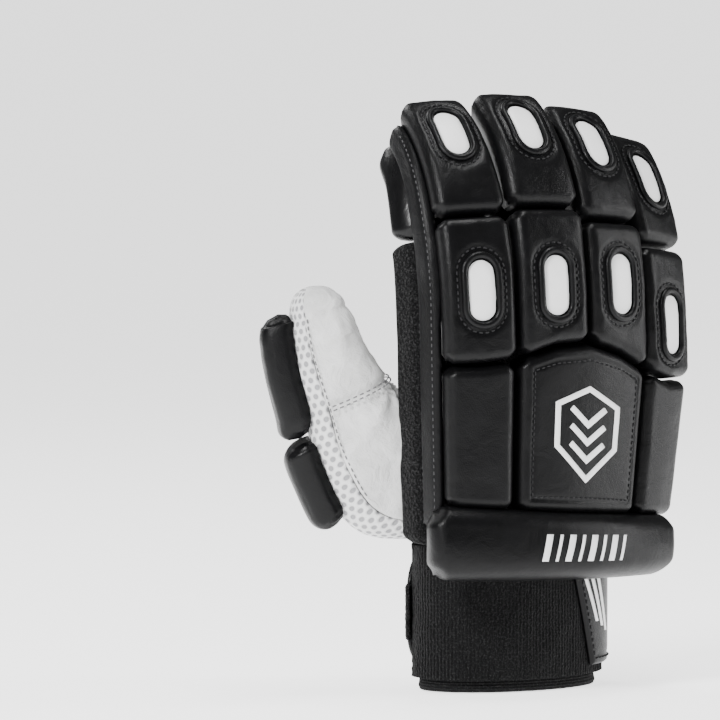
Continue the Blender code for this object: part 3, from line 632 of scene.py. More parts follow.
def bump_chain(material, layers):
    """Stacks bumps. Each layer is (node, output name, strength, distance)."""
    shader = material.node_tree.nodes["Principled BSDF"]
    last = None
    for source, out, strength, distance in layers:
        bump = node(material, "ShaderNodeBump", Strength=strength, Distance=distance)
        link(material, source, out, bump, "Height")
        if last:
            link(material, last, "Normal", bump, "Normal")
        last = bump
    link(material, last, "Normal", shader, "Normal")


def tint(material, source, out, stops):
    """Colours the material by a ramp over a texture."""
    ramp = colour_ramp(material, source, out, stops)
    link(material, ramp, "Color", material.node_tree.nodes["Principled BSDF"], "Base Color")


def leather(name, colour, dark, roughness, grain, crease, crease_scale=70.0, grain_scale=1100.0, specular=0.5):
    """Grained leather: fine cells, soft creases, a slightly uneven sheen, and colour darkened in the low parts
    of the creases as painted shade.
    """
    material = new_material(name, colour, roughness, specular=specular)
    coords = node(material, "ShaderNodeTexCoord")
    cells = node(material, "ShaderNodeTexVoronoi", Scale=grain_scale, feature="DISTANCE_TO_EDGE")
    soft = node(material, "ShaderNodeTexNoise", Scale=crease_scale, Detail=5.0, Roughness=0.62, Distortion=0.6)
    broad = node(material, "ShaderNodeTexNoise", Scale=28.0, Detail=3.0, Roughness=0.5)
    for texture in (cells, soft, broad):
        link(material, coords, "Object", texture, "Vector")
    cell_ramp = colour_ramp(material, cells, "Distance", ((0.0, (0, 0, 0)), (0.25, (1, 1, 1))))
    layers = (
        (broad, "Fac", crease * 0.6, 0.004), (soft, "Fac", crease, 0.0022), (cell_ramp, "Color", grain, 0.00025)
    )
    bump_chain(material, layers)
    # Painted shade: the colour goes darker where the crease relief is low.
    tint(material, soft, "Fac", ((0.3, dark), (0.62, colour)))
    rough = node(material, "ShaderNodeMapRange")
    rough.inputs["To Min"].default_value = roughness - 0.07
    rough.inputs["To Max"].default_value = roughness + 0.09
    link(material, broad, "Fac", rough, "Value")
    link(material, rough, "Result", material.node_tree.nodes["Principled BSDF"], "Roughness")
    return material


def fleece(name, colour, scale, depth):
    """Looped towelling: dense fibrous bumps with a dull sheen, and lighter fibre specks painted in as
    highlights.
    """
    material = new_material(name, colour, 0.95, specular=0.12, sheen=0.04)
    coords = node(material, "ShaderNodeTexCoord")
    loops = node(material, "ShaderNodeTexVoronoi", Scale=scale)
    fibre = node(material, "ShaderNodeTexNoise", Scale=scale * 2.2, Detail=4.0, Roughness=0.7)
    for texture in (loops, fibre):
        link(material, coords, "Object", texture, "Vector")
    bump_chain(material, ((loops, "Distance", 0.9, depth), (fibre, "Fac", 0.8, depth * 0.6)))
    # Painted highlights: lighter specks on the fibres, following the fibre noise.
    tint(material, fibre, "Fac", ((0.50, colour), (0.72, tuple(c * 4.0 + 0.034 for c in colour))))
    return material


def ribbed(name, colour, pitch, across=True, depth=0.0006, distortion=0.6):
    """Knitted ribs that follow the surface map, with lighter fibre specks painted in as highlights."""
    material = new_material(name, colour, 0.92, specular=0.12, sheen=0.03)
    uv = node(material, "ShaderNodeUVMap", uv_map="surface")
    wave = node(material, "ShaderNodeTexWave", Scale=math.pi / 10 / pitch, Distortion=distortion, Detail=1.0)
    wave.wave_type = "BANDS"
    wave.bands_direction = "X" if across else "Y"
    wave.inputs["Detail Scale"].default_value = 3.0
    fibre = node(material, "ShaderNodeTexNoise", Scale=1100.0, Detail=4.0, Roughness=0.7)
    for texture in (wave, fibre):
        link(material, uv, "UV", texture, "Vector")
    bump_chain(material, ((wave, "Fac", 0.8, depth), (fibre, "Fac", 0.7, depth * 0.6)))
    # Painted highlights: lighter specks on the fibres.
    tint(material, fibre, "Fac", ((0.50, colour), (0.75, tuple(c * 3.5 + 0.024 for c in colour))))
    return material


def hole_mesh(name, colour, dark, pitch):
    """White air mesh with staggered round holes that follow the surface map; the holes are painted grey as
    shade.
    """
    material = new_material(name, colour, 0.7, specular=0.3, sheen=0.1)
    uv = node(material, "ShaderNodeUVMap", uv_map="surface")
    tall = 1.732

    def then(source, out, operation, *values):
        made = node(material, "ShaderNodeVectorMath", operation=operation)
        if values:
            made.inputs[1].default_value = values
        link(material, source, out, made, 0)
        return made

    nearest = node(material, "ShaderNodeMath", operation="MINIMUM")
    for into, shift in enumerate((0.0, 0.5)):
        step = then(uv, "UV", "MULTIPLY", 1 / pitch, 1 / (pitch * tall), 0.0)
        step = then(step, "Vector", "ADD", shift, shift, 0.0)
        step = then(step, "Vector", "FRACTION")
        step = then(step, "Vector", "SUBTRACT", 0.5, 0.5, 0.0)
        step = then(step, "Vector", "MULTIPLY", 1.0, tall, 0.0)
        link(material, then(step, "Vector", "LENGTH"), "Value", nearest, into)
    # Painted shade: the holes are coloured grey, darker than the mesh.
    tint(material, nearest, "Value", ((0.24, dark), (0.34, colour)))
    relief = colour_ramp(material, nearest, "Value", ((0.18, (0, 0, 0)), (0.42, (1, 1, 1))))
    fibre = node(material, "ShaderNodeTexNoise", Scale=1800.0, Detail=3.0)
    link(material, uv, "UV", fibre, "Vector")
    bump_chain(material, ((relief, "Color", 0.9, 0.0007), (fibre, "Fac", 0.3, 0.0002)))
    return material


BLACK = leather(
    "black_leather", (0.0030, 0.0030, 0.0034), (0.0020, 0.0020, 0.0022),
    roughness=0.33, grain=0.18, crease=0.20, crease_scale=85.0, specular=0.17,
)
SOFT_BLACK = leather(
    "black_side_leather", (0.0035, 0.0035, 0.004), (0.0025, 0.0025, 0.0027),
    roughness=0.36, grain=0.18, crease=0.34, crease_scale=60.0, specular=0.16,
)
SHINY = leather(
    "black_shiny_leather", (0.0030, 0.0030, 0.0034), (0.0020, 0.0020, 0.0022),
    roughness=0.27, grain=0.06, crease=0.24, crease_scale=55.0, specular=0.24,
)
WHITE = leather(
    "white_leather", (0.76, 0.76, 0.755), (0.60, 0.60, 0.595),
    roughness=0.50, grain=0.30, crease=0.85, crease_scale=95.0, grain_scale=1500.0, specular=0.3,
)
PANEL = leather("white_panel", (0.90, 0.90, 0.90), (0.84, 0.84, 0.84), roughness=0.42, grain=0.05, crease=0.06)
FLEECE = fleece("black_fleece", (0.0016, 0.0016, 0.0018), 560.0, 0.0011)
TOWEL = ribbed("black_towelling", (0.0025, 0.0025, 0.0027), 0.0017, distortion=3.0)
KNIT = ribbed("black_knit", (0.003, 0.003, 0.0032), 0.0016)
RIB = ribbed("black_ribbed_band", (0.004, 0.004, 0.0042), 0.0013, across=False)
MESH = hole_mesh("white_air_mesh", (0.76, 0.76, 0.76), (0.30, 0.30, 0.31), 0.0042)
BLACK_THREAD = new_material("black_thread", (0.010, 0.010, 0.011), 0.6, specular=0.3)
DIM_THREAD = new_material("dim_thread", (0.05, 0.05, 0.052), 0.6, specular=0.3)
SEAM_THREAD = new_material("seam_thread", (0.16, 0.16, 0.165), 0.6, specular=0.3)
# Matt black for the shade seen through the net and the palm's air holes: painted shade.
HOLE_SHADE = new_material("painted_hole_shade", (0.003, 0.003, 0.003), 0.95, specular=0.1)


# Finger rolls and their vents

EDGE_RADIUS = 0.0055
TIP_RADIUS = 0.008
EDGE_SHARE = 0.50
TOP_VENT_SHARE = 0.86
SEAM_INSET = 0.0062
STITCH_INSET = 0.0064
EMBLEM_HALF_WIDTH = 0.0160
EMBLEM_HALF_HEIGHT = 0.0205
EMBLEM_LINE = 0.0025
CHEVRON_LINE = 0.0027
CHEVRON_FEET = (-0.0074, 0.0006, 0.0086)
BAR_COUNT = 8
BAR_START = 0.385
BAR_PITCH = 0.043
BAR_LEAN = 0.020
BAR_WIDTHS = (0.021, 0.009)
BAR_FOOT = 0.30
BAR_HEIGHT = 0.38

def stadium(b, s, width, length):
    """Signed distance from a slot with round ends."""
    radius = width / 2
    past = max(0.0, abs(s) - (length / 2 - radius))
    return math.hypot(b, past) - radius


def vent_of(index, part):
    finger = FINGERS[index]
    start, end = roll_limits(index, part)
    share = finger.low_vent if part == "lower" else finger.top_vent
    width = VENT_WIDTH * (0.9 if finger.name == "little" else 1.0)
    return start + (end - start) * share, width


def vent_length(part):
    return VENT_LENGTH * (1.0 if part == "lower" else TOP_VENT_SHARE)


def roll_height(index, part, b, s):
    """How high a roll's surface stands, with rounded edges, a soft crown and a dip round its vent."""
    start, end = roll_limits(index, part)
    if part == "lower":
        start += roll_foot(index, CENTRES[index] + b)
    half = roll_width(index, s) / 2
    side = rounded(half - abs(b), EDGE_RADIUS)
    ends = rounded(s - start, EDGE_RADIUS) * rounded(end - s, EDGE_RADIUS if part == "lower" else TIP_RADIUS)
    crown = 0.94 + 0.06 * (1 - (b / half) ** 2)
    height = ROLL_THICKNESS * (EDGE_SHARE + (1 - EDGE_SHARE) * side * ends) * crown
    middle, width = vent_of(index, part)
    off = stadium(b, s - middle, width + 2 * RIM_WIDTH, vent_length(part) + 2 * RIM_WIDTH)
    height -= 0.0008 * ridge(off - 0.0012, 0.0013)
    if off < -0.0008:
        height -= 0.0006
    fold = noise.noise(Vector((b * 95 + index * 7, s * 70, 3.0 if part == "lower" else 9.0)))
    pucker = noise.noise(Vector((b * 260 + index * 7, s * 260, 4.0))) * (1.2 - side * ends)
    return height + 0.00035 * fold * side * ends + 0.0006 * pucker * side * ends


def build_roll(index, part):
    start, end = roll_limits(index, part)

    def spot(i, j):
        s = start + (end - start) * j
        b = (i - 0.5) * roll_width(index, s)
        if part == "lower":
            s += roll_foot(index, CENTRES[index] + b) * (1 - j)
        return b, s

    def place(i, j, n):
        b, s = spot(i, j)
        inset = 1 - 0.05 * max(0.0, 1 - n / (0.3 * ROLL_THICKNESS))
        return column_point(index, b * inset * (1 + n / ARCH_RADIUS), s, n)

    def height(i, j):
        return roll_height(index, part, *spot(i, j))

    name = f"roll_{FINGERS[index].name}_{part}"
    pad(f"padded_{name}", name, place, height, even(37, 0.45), even(57, 0.45), BLACK)


def build_vent(index, part):
    """A roll's white vent and its piped rim. Returns the line of stitches round it."""
    name = f"{FINGERS[index].name}_{part}"
    middle, width = vent_of(index, part)
    length = vent_length(part)

    def surface(b, s, lift):
        n = roll_height(index, part, b, middle + s) + lift
        return column_point(index, b * (1 + n / ARCH_RADIUS), middle + s, n)

    def loop(grow, lift, count=56):
        radius, straight = width / 2 + grow, (length - width) / 2
        side, turn = 2 * straight, math.pi * radius
        points = []
        for k in range(count):
            d = 2 * (side + turn) * k / count
            if d < side:
                b, s = radius, -straight + d
            elif d < side + turn:
                a = (d - side) / radius
                b, s = radius * math.cos(a), straight + radius * math.sin(a)
            elif d < 2 * side + turn:
                b, s = -radius, straight - (d - side - turn)
            else:
                a = math.pi + (d - 2 * side - turn) / radius
                b, s = radius * math.cos(a), -straight + radius * math.sin(a)
            points.append((surface(b, s, lift), outward_at(CENTRES[index], middle + s)))
        return points

    piped_ring(f"vent_ring_{name}", f"vent_rim_{name}", loop(RIM_WIDTH * 0.46, 0.0006), 0.00155, BLACK)
    rings = ((1.0, -0.0002), (0.86, 0.0003), (0.6, 0.0006), (0.3, 0.0007))
    count, edge = 40, slot_points(width, length, 40)
    verts = [
        surface(b * size, s * size, lift)
        for size, lift in rings
        for b, s in edge
    ] + [surface(0.0, 0.0, 0.0007)]
    last = (len(rings) - 1) * count
    faces = grid_faces(len(rings), count, True)
    faces += [(last + k, last + (k + 1) % count, len(verts) - 1) for k in range(count)]
    finish_mesh(f"vent_panel_{name}", verts, faces, PANEL, stands_for=f"vent_{name}")
    seam = loop(RIM_WIDTH * 1.45, 0.0002)
    return seam + seam[:1]


def slot_points(width, length, count):
    radius, straight = width / 2, length / 2 - width / 2
    points = []
    for k in range(count):
        a = 2 * math.pi * k / count
        x, y = radius * math.cos(a), radius * math.sin(a)
        points.append((x, y + straight * max(-1.0, min(1.0, math.sin(a) * 3))))
    return points


# Blocks and wrist roll

def block_pad(node_name, left, right, gable=False):
    def spot(i, j):
        u = left + (right - left) * i
        head, foot = knuckle_peak(u) - ROLL_GAP / 2, foot_at(u)
        return u, foot + (head - foot) * j

    def place(i, j, n):
        return bed_point(*spot(i, j), n)

    def height(i, j):
        u, s = spot(i, j)
        head = knuckle_peak(u) - ROLL_GAP / 2
        side = rounded(min(u - left, right - u), EDGE_RADIUS)
        ends = rounded(s - foot_at(u), EDGE_RADIUS) * rounded(head - s, EDGE_RADIUS)
        crown = 0.95 + 0.05 * (1 - (2 * i - 1) ** 2)
        fold = noise.noise(Vector((u * 60, s * 60, 5.0)))
        groove = 0.0
        if gable:
            off = min(u - left, right - u, s - foot_at(u), head - s)
            groove = 0.0006 * ridge(off - SEAM_INSET, 0.0009)
        top = BLOCK_THICKNESS * (EDGE_SHARE + (1 - EDGE_SHARE) * side * ends) * crown
        return top + 0.0003 * fold * side * ends - groove

    count = 61 if gable else 33
    pad(f"padded_{node_name}", node_name, place, height, even(count, 0.45), even(61, 0.45), BLACK)
    return spot, place, height


def build_blocks():
    gap = COLUMN_GAP / 2
    block_pad("block_index", EDGES[0], EDGES[1] - gap)
    left, right = EDGES[1] + gap, EDGES[3] - gap
    spot, place, height = block_pad("block_emblem", left, right, gable=True)
    block_pad("block_little", EDGES[3] + gap, EDGES[4])

    def edge_line(a, b, count=30):
        line = []
        for k in range(count + 1):
            i, j = a[0] + (b[0] - a[0]) * k / count, a[1] + (b[1] - a[1]) * k / count
            u, s = spot(i, j)
            line.append((place(i, j, height(i, j) + 0.0002), outward_at(u, s)))
        return line

    wi, wj = STITCH_INSET / (right - left), STITCH_INSET / (-BLOCK_FOOT)
    corners = [(wi, wj), (1 - wi, wj), (1 - wi, 1 - wj), (0.5, 1 - wj), (wi, 1 - wj)]
    lines = [edge_line(a, b) for a, b in zip(corners, corners[1:] + corners[:1])]
    stitches("emblem_block_stitches", lines, BLACK_THREAD, length=0.0017, pitch=0.0027, width=0.00032)
    return spot, place, height


def build_emblem(spot, place, height):
    """A plain six-sided frame with three chevrons, in raised white."""
    middle = (EDGES[1] + EDGES[3]) / 2
    centre = BLOCK_FOOT * 0.53
    left, right = EDGES[1] + COLUMN_GAP / 2, EDGES[3] - COLUMN_GAP / 2

    def surface(b, s, lift):
        u = middle + b
        head = knuckle_peak(u) - ROLL_GAP / 2
        foot = foot_at(u)
        i, j = (u - left) / (right - left), (centre + s - foot) / (head - foot)
        return bed_point(u, centre + s, height(i, j) + lift)

    verts, faces = [], []

    def bar(points, width):
        """A raised band along a closed or open line of points."""
        closed = points[0] == points[-1]
        dense = [Vector(a).lerp(Vector(b), k / 6) for a, b in zip(points, points[1:]) for k in range(6)]
        if not closed:
            dense.append(Vector(points[-1]))
        base, count = len(verts), len(dense)
        for k, p in enumerate(dense):
            before = (p - dense[k - 1] if closed or k else dense[1] - p).normalized()
            after = (dense[(k + 1) % count] - p if closed or k < count - 1 else before).normalized()
            side = (before + after).orthogonal().normalized()
            stretch = 1 / max(0.5, side.dot(before.orthogonal()))
            for offset, lift in ((-0.5, 0.0), (-0.42, 0.0007), (0.42, 0.0007), (0.5, 0.0)):
                verts.append(surface(*(p + side * width * offset * stretch), lift))
        for k in range(count if closed else count - 1):
            low, high = base + k * 4, base + (k + 1) % count * 4
            faces.extend((low + m + 1, low + m, high + m, high + m + 1) for m in range(3))
        if not closed:
            faces.append(tuple(base + m for m in range(4)))
            faces.append(tuple(base + count * 4 - 1 - m for m in range(4)))

    half, tall = EMBLEM_HALF_WIDTH, EMBLEM_HALF_HEIGHT
    right_side = [(0.0, tall), (half, tall * 0.62), (half, -tall * 0.30), (0.0, -tall)]
    bar(right_side + [(-b, s) for b, s in reversed(right_side[1:3])] + right_side[:1], EMBLEM_LINE)
    for low in CHEVRON_FEET:
        bar([(-0.0090, low + 0.0030), (0.0, low - 0.0044), (0.0090, low + 0.0030)], CHEVRON_LINE)
    finish_mesh("emblem_frame", verts, faces, PANEL, stands_for="badge")


def build_wrist_roll():
    head = BLOCK_FOOT + 0.0010
    left, right = -WRIST_ROLL_OVERHANG, BED_WIDTH - WRIST_ROLL_OVERHANG * 0.2
    width = right - left

    def spot(i, j):
        tall = WRIST_ROLL_HEIGHT * (1 - 0.15 * i)
        return left + width * i, head - tall * (1 - j), tall

    def place(i, j, n):
        u, s, _ = spot(i, j)
        return bed_point(u, s, n, straight_drop(u))

    def height(i, j):
        u, s, tall = spot(i, j)
        side = rounded(min(u - left, right - u), 0.008, 2.1)
        low = rounded(tall * j, 0.0095, 2.1)
        high = rounded(tall * (1 - j), 0.008, 2.2)
        fold = noise.noise(Vector((u * 45, s * 80, 11.0)))
        slope = 0.86 + 0.14 * math.sin(math.pi * min(1.0, 0.25 + j * 0.75))
        edge = 0.34 + 0.22 * smooth(j)
        share = side * low * high
        return WRIST_ROLL_THICKNESS * (edge + (1 - edge) * share) * slope + 0.0005 * fold * share

    pad("padded_wrist_roll", "wrist_roll", place, height, even(105, 0.45), even(37, 0.35), BLACK, corner=0.009)
    verts, faces = [], []
    for k in range(BAR_COUNT):

        def on_roll(share, side, lift):
            middle = BAR_START + BAR_PITCH * k + BAR_LEAN * (share - 0.5)
            i, j = middle + (side - 0.5) * BAR_WIDTHS[k % 2], BAR_FOOT + BAR_HEIGHT * share
            return place(i, j, height(i, j) + lift)

        flat_bar(verts, faces, on_roll, 6, (0.0006, -0.0002))
    finish_mesh("wrist_roll_bars", verts, faces, PANEL)


# Finger stalls

LEATHER_WALL = 0.0015
KNIT_WALL = 0.0018
HOOD_WALL = 0.002


def hood_start(index):
    return strip_end(index) + NET_LENGTH * FINGERS[index].stall


def tip_end(index):
    finger = FINGERS[index]
    return finger.lower * LOWER_ROLL_LENGTH + finger.upper * UPPER_ROLL_LENGTH - DOME_LENGTH


def ripple(p, scale, size):
    return size * noise.noise(p * scale)


def waves(scale, size):
    return lambda i, j, p: ripple(p, scale, size)


def build_sleeve(index):
    half = math.radians(STRIP_HALF_ANGLE)
    name = FINGERS[index].name
    angles = spread(half, 2 * math.pi - half, 33)
    lengths = spread(web_at(CENTRES[index]) + CROTCH_GAP, strip_end(index), 22)
    rows = [[stall_point(index, s, angle) for angle in angles] for s in lengths]
    shell(
        f"fourchette_{name}", rows, KNIT_WALL, FLEECE, flip=True, lift=waves(160, 0.0005),
        stands_for=f"sleeve_{name}",
    )


def ring_rows(index, lengths, count, proud):
    """Closed rings of stall skin, with the first point repeated last."""
    angles = spread(0.0, 2 * math.pi, count + 1)
    return [
        [stall_point(index, s, angle, proud(s) if callable(proud) else proud) for angle in angles]
        for s in lengths
    ]


def build_net(index):
    """The finger's open net: a dark sheet of painted shade behind it, a ribbed band at its foot and crossed
    cords.
    """
    name = FINGERS[index].name
    low, high = strip_end(index), hood_start(index)
    # A black sheet under the net stands for the shade inside the stall: painted shade.
    rows = ring_rows(index, spread(low, high, 16), 48, NET_PROUD - 0.0004)
    shell(f"net_lining_{name}", rows, 0.0012, HOLE_SHADE, flip=True, closed=True, stands_for=f"net_{name}")
    rows = ring_rows(index, spread(low - 0.0022, low + 0.0036, 7), 56, NET_PROUD + 0.0004)
    lift = lambda i, j, p: (0.0004 if 1 <= i <= 5 else -0.0002) + ripple(p, 900, 0.0001)
    shell(f"net_band_{name}", rows, 0.0009, RIB, flip=True, closed=True, lift=lift)
    verts, faces = [], []
    count, turns, steps, radius = 28, 3.6, 12, 0.00034
    foot, head = low + 0.003, high - 0.001
    for way in (-1, 1):
        for k in range(count):
            line = []
            for m in range(steps + 1):
                share = m / steps
                angle = 2 * math.pi * (k + way * share * turns) / count
                line.append(
                    stall_point(index, foot + (head - foot) * share, angle, NET_PROUD + 0.0003 * (way + 1))
                )
            rings = []
            for m, p in enumerate(line):
                along = (line[min(m + 1, steps)] - line[max(m - 1, 0)]).normalized()
                out = (p - stall_centre(index, low + (high - low) * m / steps)).normalized()
                side = along.cross(out).normalized()
                up = side.cross(along)
                rings.append(
                    [p + (side * math.cos(a) + up * math.sin(a)) * radius for a in (0.0, 1.571, 3.142, 4.712)]
                )
            sweep(verts, faces, rings)
    finish_mesh(f"net_cords_{name}", verts, faces, KNIT)


def build_hood(index):
    """The leather fingertip, a tube closed by a dome."""
    name = FINGERS[index].name
    start, end = hood_start(index), tip_end(index)
    count = 72
    middle = stall_centre(index, end)
    along = frame_at(arch(CENTRES[index])[2], profile(end)[2])[2]
    proud = lambda s: HOOD_PROUD * (0.55 + 0.45 * rounded(s - start, 0.004))
    rows = ring_rows(index, spread(start, end, 16), count, proud)
    edge = rows[-1]
    for step in range(1, 12):
        angle = math.pi / 2 * step / 12
        rows.append(
            [middle + (p - middle) * math.cos(angle) + along * DOME_LENGTH * math.sin(angle) for p in edge]
        )
    rows.append([middle + (p - middle) * 0.02 + along * DOME_LENGTH for p in edge])

    def pleats(i, j, p):
        """A gathered seam round the crown, with pleats that run in to the tip."""
        share = i / (len(rows) - 1)
        fold = 0.5 + 0.5 * math.cos(13 * 2 * math.pi * (j % count) / count)
        crown = smooth((share - 0.46) / 0.10) * (1 - smooth((share - 0.90) / 0.10))
        seam = ridge(share - 0.50, 0.022)
        return crown * 0.0010 * (fold - 0.6) - 0.0009 * seam + ripple(p, 130, 0.0005)

    shell(
        f"finger_cap_{name}", rows, HOOD_WALL, SHINY, flip=True, closed=True, lift=pleats,
        stands_for=f"hood_{name}",
    )


# Hand

def hand_line(index, angle, place, row):
    """The hand's skin, blending up into the finger's own skin at the web."""
    web = web_at(CENTRES[index])
    low = hand_point(*place, row)
    share = smooth((row - 0.62) / 0.38)
    return low + (stall_point(index, web, angle) - hand_point(*place, 1.0)) * share


def palm_creases(p, t):
    """The leather's folds: across under the fingers, round the thumb's base and fine ones overall."""
    local = p - SHIFT
    under = local.z - 0.128 - 0.006 * math.sin(t * 2.2)
    head = local.z - 0.104 + 0.014 * t
    thenar = math.hypot((t + 1.0) * 0.06, local.z - 0.088) - 0.043
    folds = 0.0011 * ridge(under, 0.0016) + 0.0010 * ridge(head, 0.0018) * smooth((t + 0.75) / 0.4)
    folds += 0.0009 * ridge(thenar, 0.0014)
    return -folds * 1.3 + ripple(p, 70, 0.0016) + ripple(p, 210, 0.0007)


def build_palm():
    half = math.radians(STRIP_HALF_ANGLE)
    angles = spread(-half, half, 15)
    columns = [(k, angle, hand_column(k, angle)) for k in range(len(FINGERS)) for angle in angles]
    shares = spread(0.0, 1.0, 64)
    rows = [[hand_line(index, angle, place, row) for index, angle, place in columns] for row in shares]
    lifts = [
        [
            palm_creases(p, place[0]) * (1 - smooth((row - 0.93) / 0.07))
            for p, (_, _, place) in zip(line, columns)
        ]
        for line, row in zip(rows, shares)
    ]
    lift = lambda i, j, p: lifts[i][j] * smooth(min(j, len(columns) - 1 - j) / 5)
    shell("palm_panel", rows, LEATHER_WALL, WHITE, flip=True, lift=lift, stands_for="palm_leather")
    for index, finger in enumerate(FINGERS):
        web = web_at(CENTRES[index])
        lengths = spread(web, strip_end(index) + 0.0008, 26)
        strip = [[stall_point(index, s, angle) for angle in angles] for s in lengths]

        def strip_lift(i, j, p):
            side = min(j, len(angles) - 1 - j) / (len(angles) - 1)
            soft = (ripple(p, 150, 0.0007) + ripple(p, 420, 0.0003)) * smooth(i / 3)
            return soft + 0.0009 * rounded(side, 0.07) * smooth(i / 4)

        shell(f"palm_strip_{finger.name}", strip, LEATHER_WALL, WHITE, flip=True, lift=strip_lift)
    lines, dots = [], []
    for index in range(len(FINGERS)):
        web = web_at(CENTRES[index])
        for angle in (-half * 0.80, half * 0.80):
            steps = spread(web - 0.001, strip_end(index) - 0.004, 30)
            lines.append([stall_spot(index, s, angle, 0.0010) for s in steps])
        dots += [
            stall_spot(index, web + s, angle, 0.0011)
            for s in (0.010, 0.018, 0.026)
            for angle in (-0.30, 0.30)
        ]

    def palm_spot(t, row, lift=0.0007):
        u = HAND_MIDDLE + t * HAND_HALF
        s = HAND_FOOT + (web_at(u) - HAND_FOOT) * row
        p = hand_point(t, -around(t), row)
        n = -outward_at(u, s)
        return p + n * (palm_creases(p, t) + lift), n

    for offset in (0.0, 0.0042):
        line = []
        for k in range(41):
            angle = math.radians(8 + 84 * k / 40)
            t = -1.02 + (0.98 + offset * 12) * math.sin(angle)
            row = 0.02 + (0.76 + offset * 9) * math.cos(angle)
            line.append(palm_spot(max(-0.97, t), max(0.02, row)))
        lines.append(line)
    lines.append([palm_spot(t, 0.035) for t in spread(-0.95, 0.95, 60)])
    for t, row in ((0.02, 0.42), (0.16, 0.42), (0.02, 0.54), (0.16, 0.54)):
        dots.append(palm_spot(t, row, 0.0001))
    stitches("palm_stitches", lines, SEAM_THREAD, length=0.0022, pitch=0.0034, width=0.00036)
    # The air holes are drawn as black discs: painted shade inside the holes.
    verts, faces = [], []
    for p, n in dots:
        side = n.orthogonal().normalized()
        up = n.cross(side)
        spokes = [side * math.cos(a) + up * math.sin(a) for a in spread(0.0, 2 * math.pi, 13)[:-1]]
        rings = [
            [p + n * lift + spoke * radius for spoke in spokes]
            for radius, lift in ((0.0009, -0.0003), (0.0008, 0.0003))
        ]
        sweep(verts, faces, rings)
    finish_mesh("palm_air_holes", verts, faces, HOLE_SHADE)


def build_back():
    half = math.radians(STRIP_HALF_ANGLE)
    seam = SEAM_GAP * 8 / TUBE_WIDTH
    flank = spread(half + seam, math.pi - half, 11)
    power = 2 / HAND_SQUARENESS
    columns = []

    def add_flank(index, angle):
        t, m = hand_column(index, angle)
        edge = (signed_power(math.sin(angle), power), -signed_power(math.cos(angle), power))
        share = min(1.0, abs(math.cos(angle)) / math.cos(half + seam))
        columns.append((index, angle, (edge[0] + (t - edge[0]) * share**2, edge[1] + (m - edge[1]) * share**2)))

    for angle in flank:
        add_flank(0, -angle)
    for index in range(len(FINGERS)):
        for angle in spread(math.pi + half, math.pi - half, 9):
            if index > 0 or angle < math.pi + half - 0.01:
                columns.append((index, angle, hand_column(index, angle)))
    columns.pop()
    for angle in reversed(flank):
        add_flank(len(FINGERS) - 1, angle)
    rows = [
        [hand_line(index, angle, place, row) for index, angle, place in columns]
        for row in spread(0.0, 1.0, 44)
    ]
    lift = lambda i, j, p: ripple(p, 120, 0.0006) * smooth(min(j, len(columns) - 1 - j) / 3)
    shell("back_panel", rows, KNIT_WALL, FLEECE, lift=lift, stands_for="back_of_hand")


# Padded edge on the thumb side

def side_seat(s, depth):
    left = stall_halves(0, s)[0] + (NET_PROUD if s < SIDE_LENGTH * 0.41 else HOOD_PROUD) + SEAM_GAP * 2
    beside_finger = CENTRES[0] - left * (1 + depth / ARCH_RADIUS)
    beside_hand = THUMB_EDGE_INSET - SEAM_GAP * 2
    return beside_hand + (beside_finger - beside_hand) * smooth((s / web_at(CENTRES[0]) - 0.53) / 0.6)


def side_spot(s, depth, thickness, share):
    """A point of the padded edge: share runs from its seat at the hand, 0, out to its face, 1."""
    seat = side_seat(s, depth)
    outer = -SIDE_REACH * thickness * (1.0 - 0.38 * smooth((s / SIDE_LENGTH - 0.42) / 0.42))
    return bed_point(seat + (outer - seat) * share, s, -depth)


def side_pad(node_name, name, length, depth, thickness, count, material):
    """A part of the padded edge, between two shares of its length and depth, from thin to thick."""
    (foot, head), (near, far), (thin, thick) = length, depth, thickness
    long, wide = SIDE_LENGTH * (head - foot), SIDE_DEPTH * (far - near)
    radius = 0.006 if name == "edge_roll" else 0.0035
    tip_radius, tip_power = {"edge_roll": (0.020, 2.0), "edge_strip": (0.012, 2.1)}.get(name, (0.006, 2.1))

    def place(i, j, n):
        s = SIDE_LENGTH * (foot + (head - foot) * j)
        return side_spot(s, SIDE_DEPTH * (near + (far - near) * i), thin + (thick - thin) * i, n)

    def height(i, j):
        side = rounded(min(i, 1 - i) * wide, radius, 2.1)
        if name == "edge_fleece":
            ends = rounded(min(j, 1 - j) * long, 0.006, 2.1)
        else:
            ends = rounded(j * long, 0.006, 2.1) * rounded((1 - j) * long, tip_radius, tip_power)
        soft = noise.noise(Vector((i * 3.0, j * long * 60, foot * 9))) * 0.03
        if name == "edge_roll":
            soft += 0.10 * (math.sin(math.pi * i) - 0.6)
        return 0.42 + 0.58 * side * ends + soft * side * ends

    pad(name, node_name, place, height, even(21, 0.4), even(count, 0.2), material)


def build_side_padding():
    side_pad("side_strip", "edge_strip", (-0.55, 0.865), (-0.26, 0.34), (0.22, 0.48), 120, SOFT_BLACK)
    side_pad("side_fleece", "edge_fleece", (-0.60, 0.425), (0.36, 1.0), (0.50, 1.0), 120, FLEECE)
    side_pad("side_roll", "edge_roll", (0.43, 0.87), (0.24, 0.96), (0.50, 0.96), 60, SHINY)
    lines = []
    for share, length, tilt in ((0.13, 1.40, 0.4), (0.90, 0.98, 1.0)):
        line = []
        for j in spread(0.02, 0.96, 120):
            s = SIDE_LENGTH * (-0.55 + length * j)
            p = side_spot(s, SIDE_DEPTH * (-0.26 + 0.60 * share), 0.22 + 0.26 * share, 0.86)
            across, out, _ = frame_at(arch(0.0)[2], profile(s)[2])
            line.append((p, (out - across * tilt).normalized()))
        lines.append(line)
    stitches("edge_stitches", lines, DIM_THREAD, length=0.0018, pitch=0.0030, width=0.0003)


# Thumb

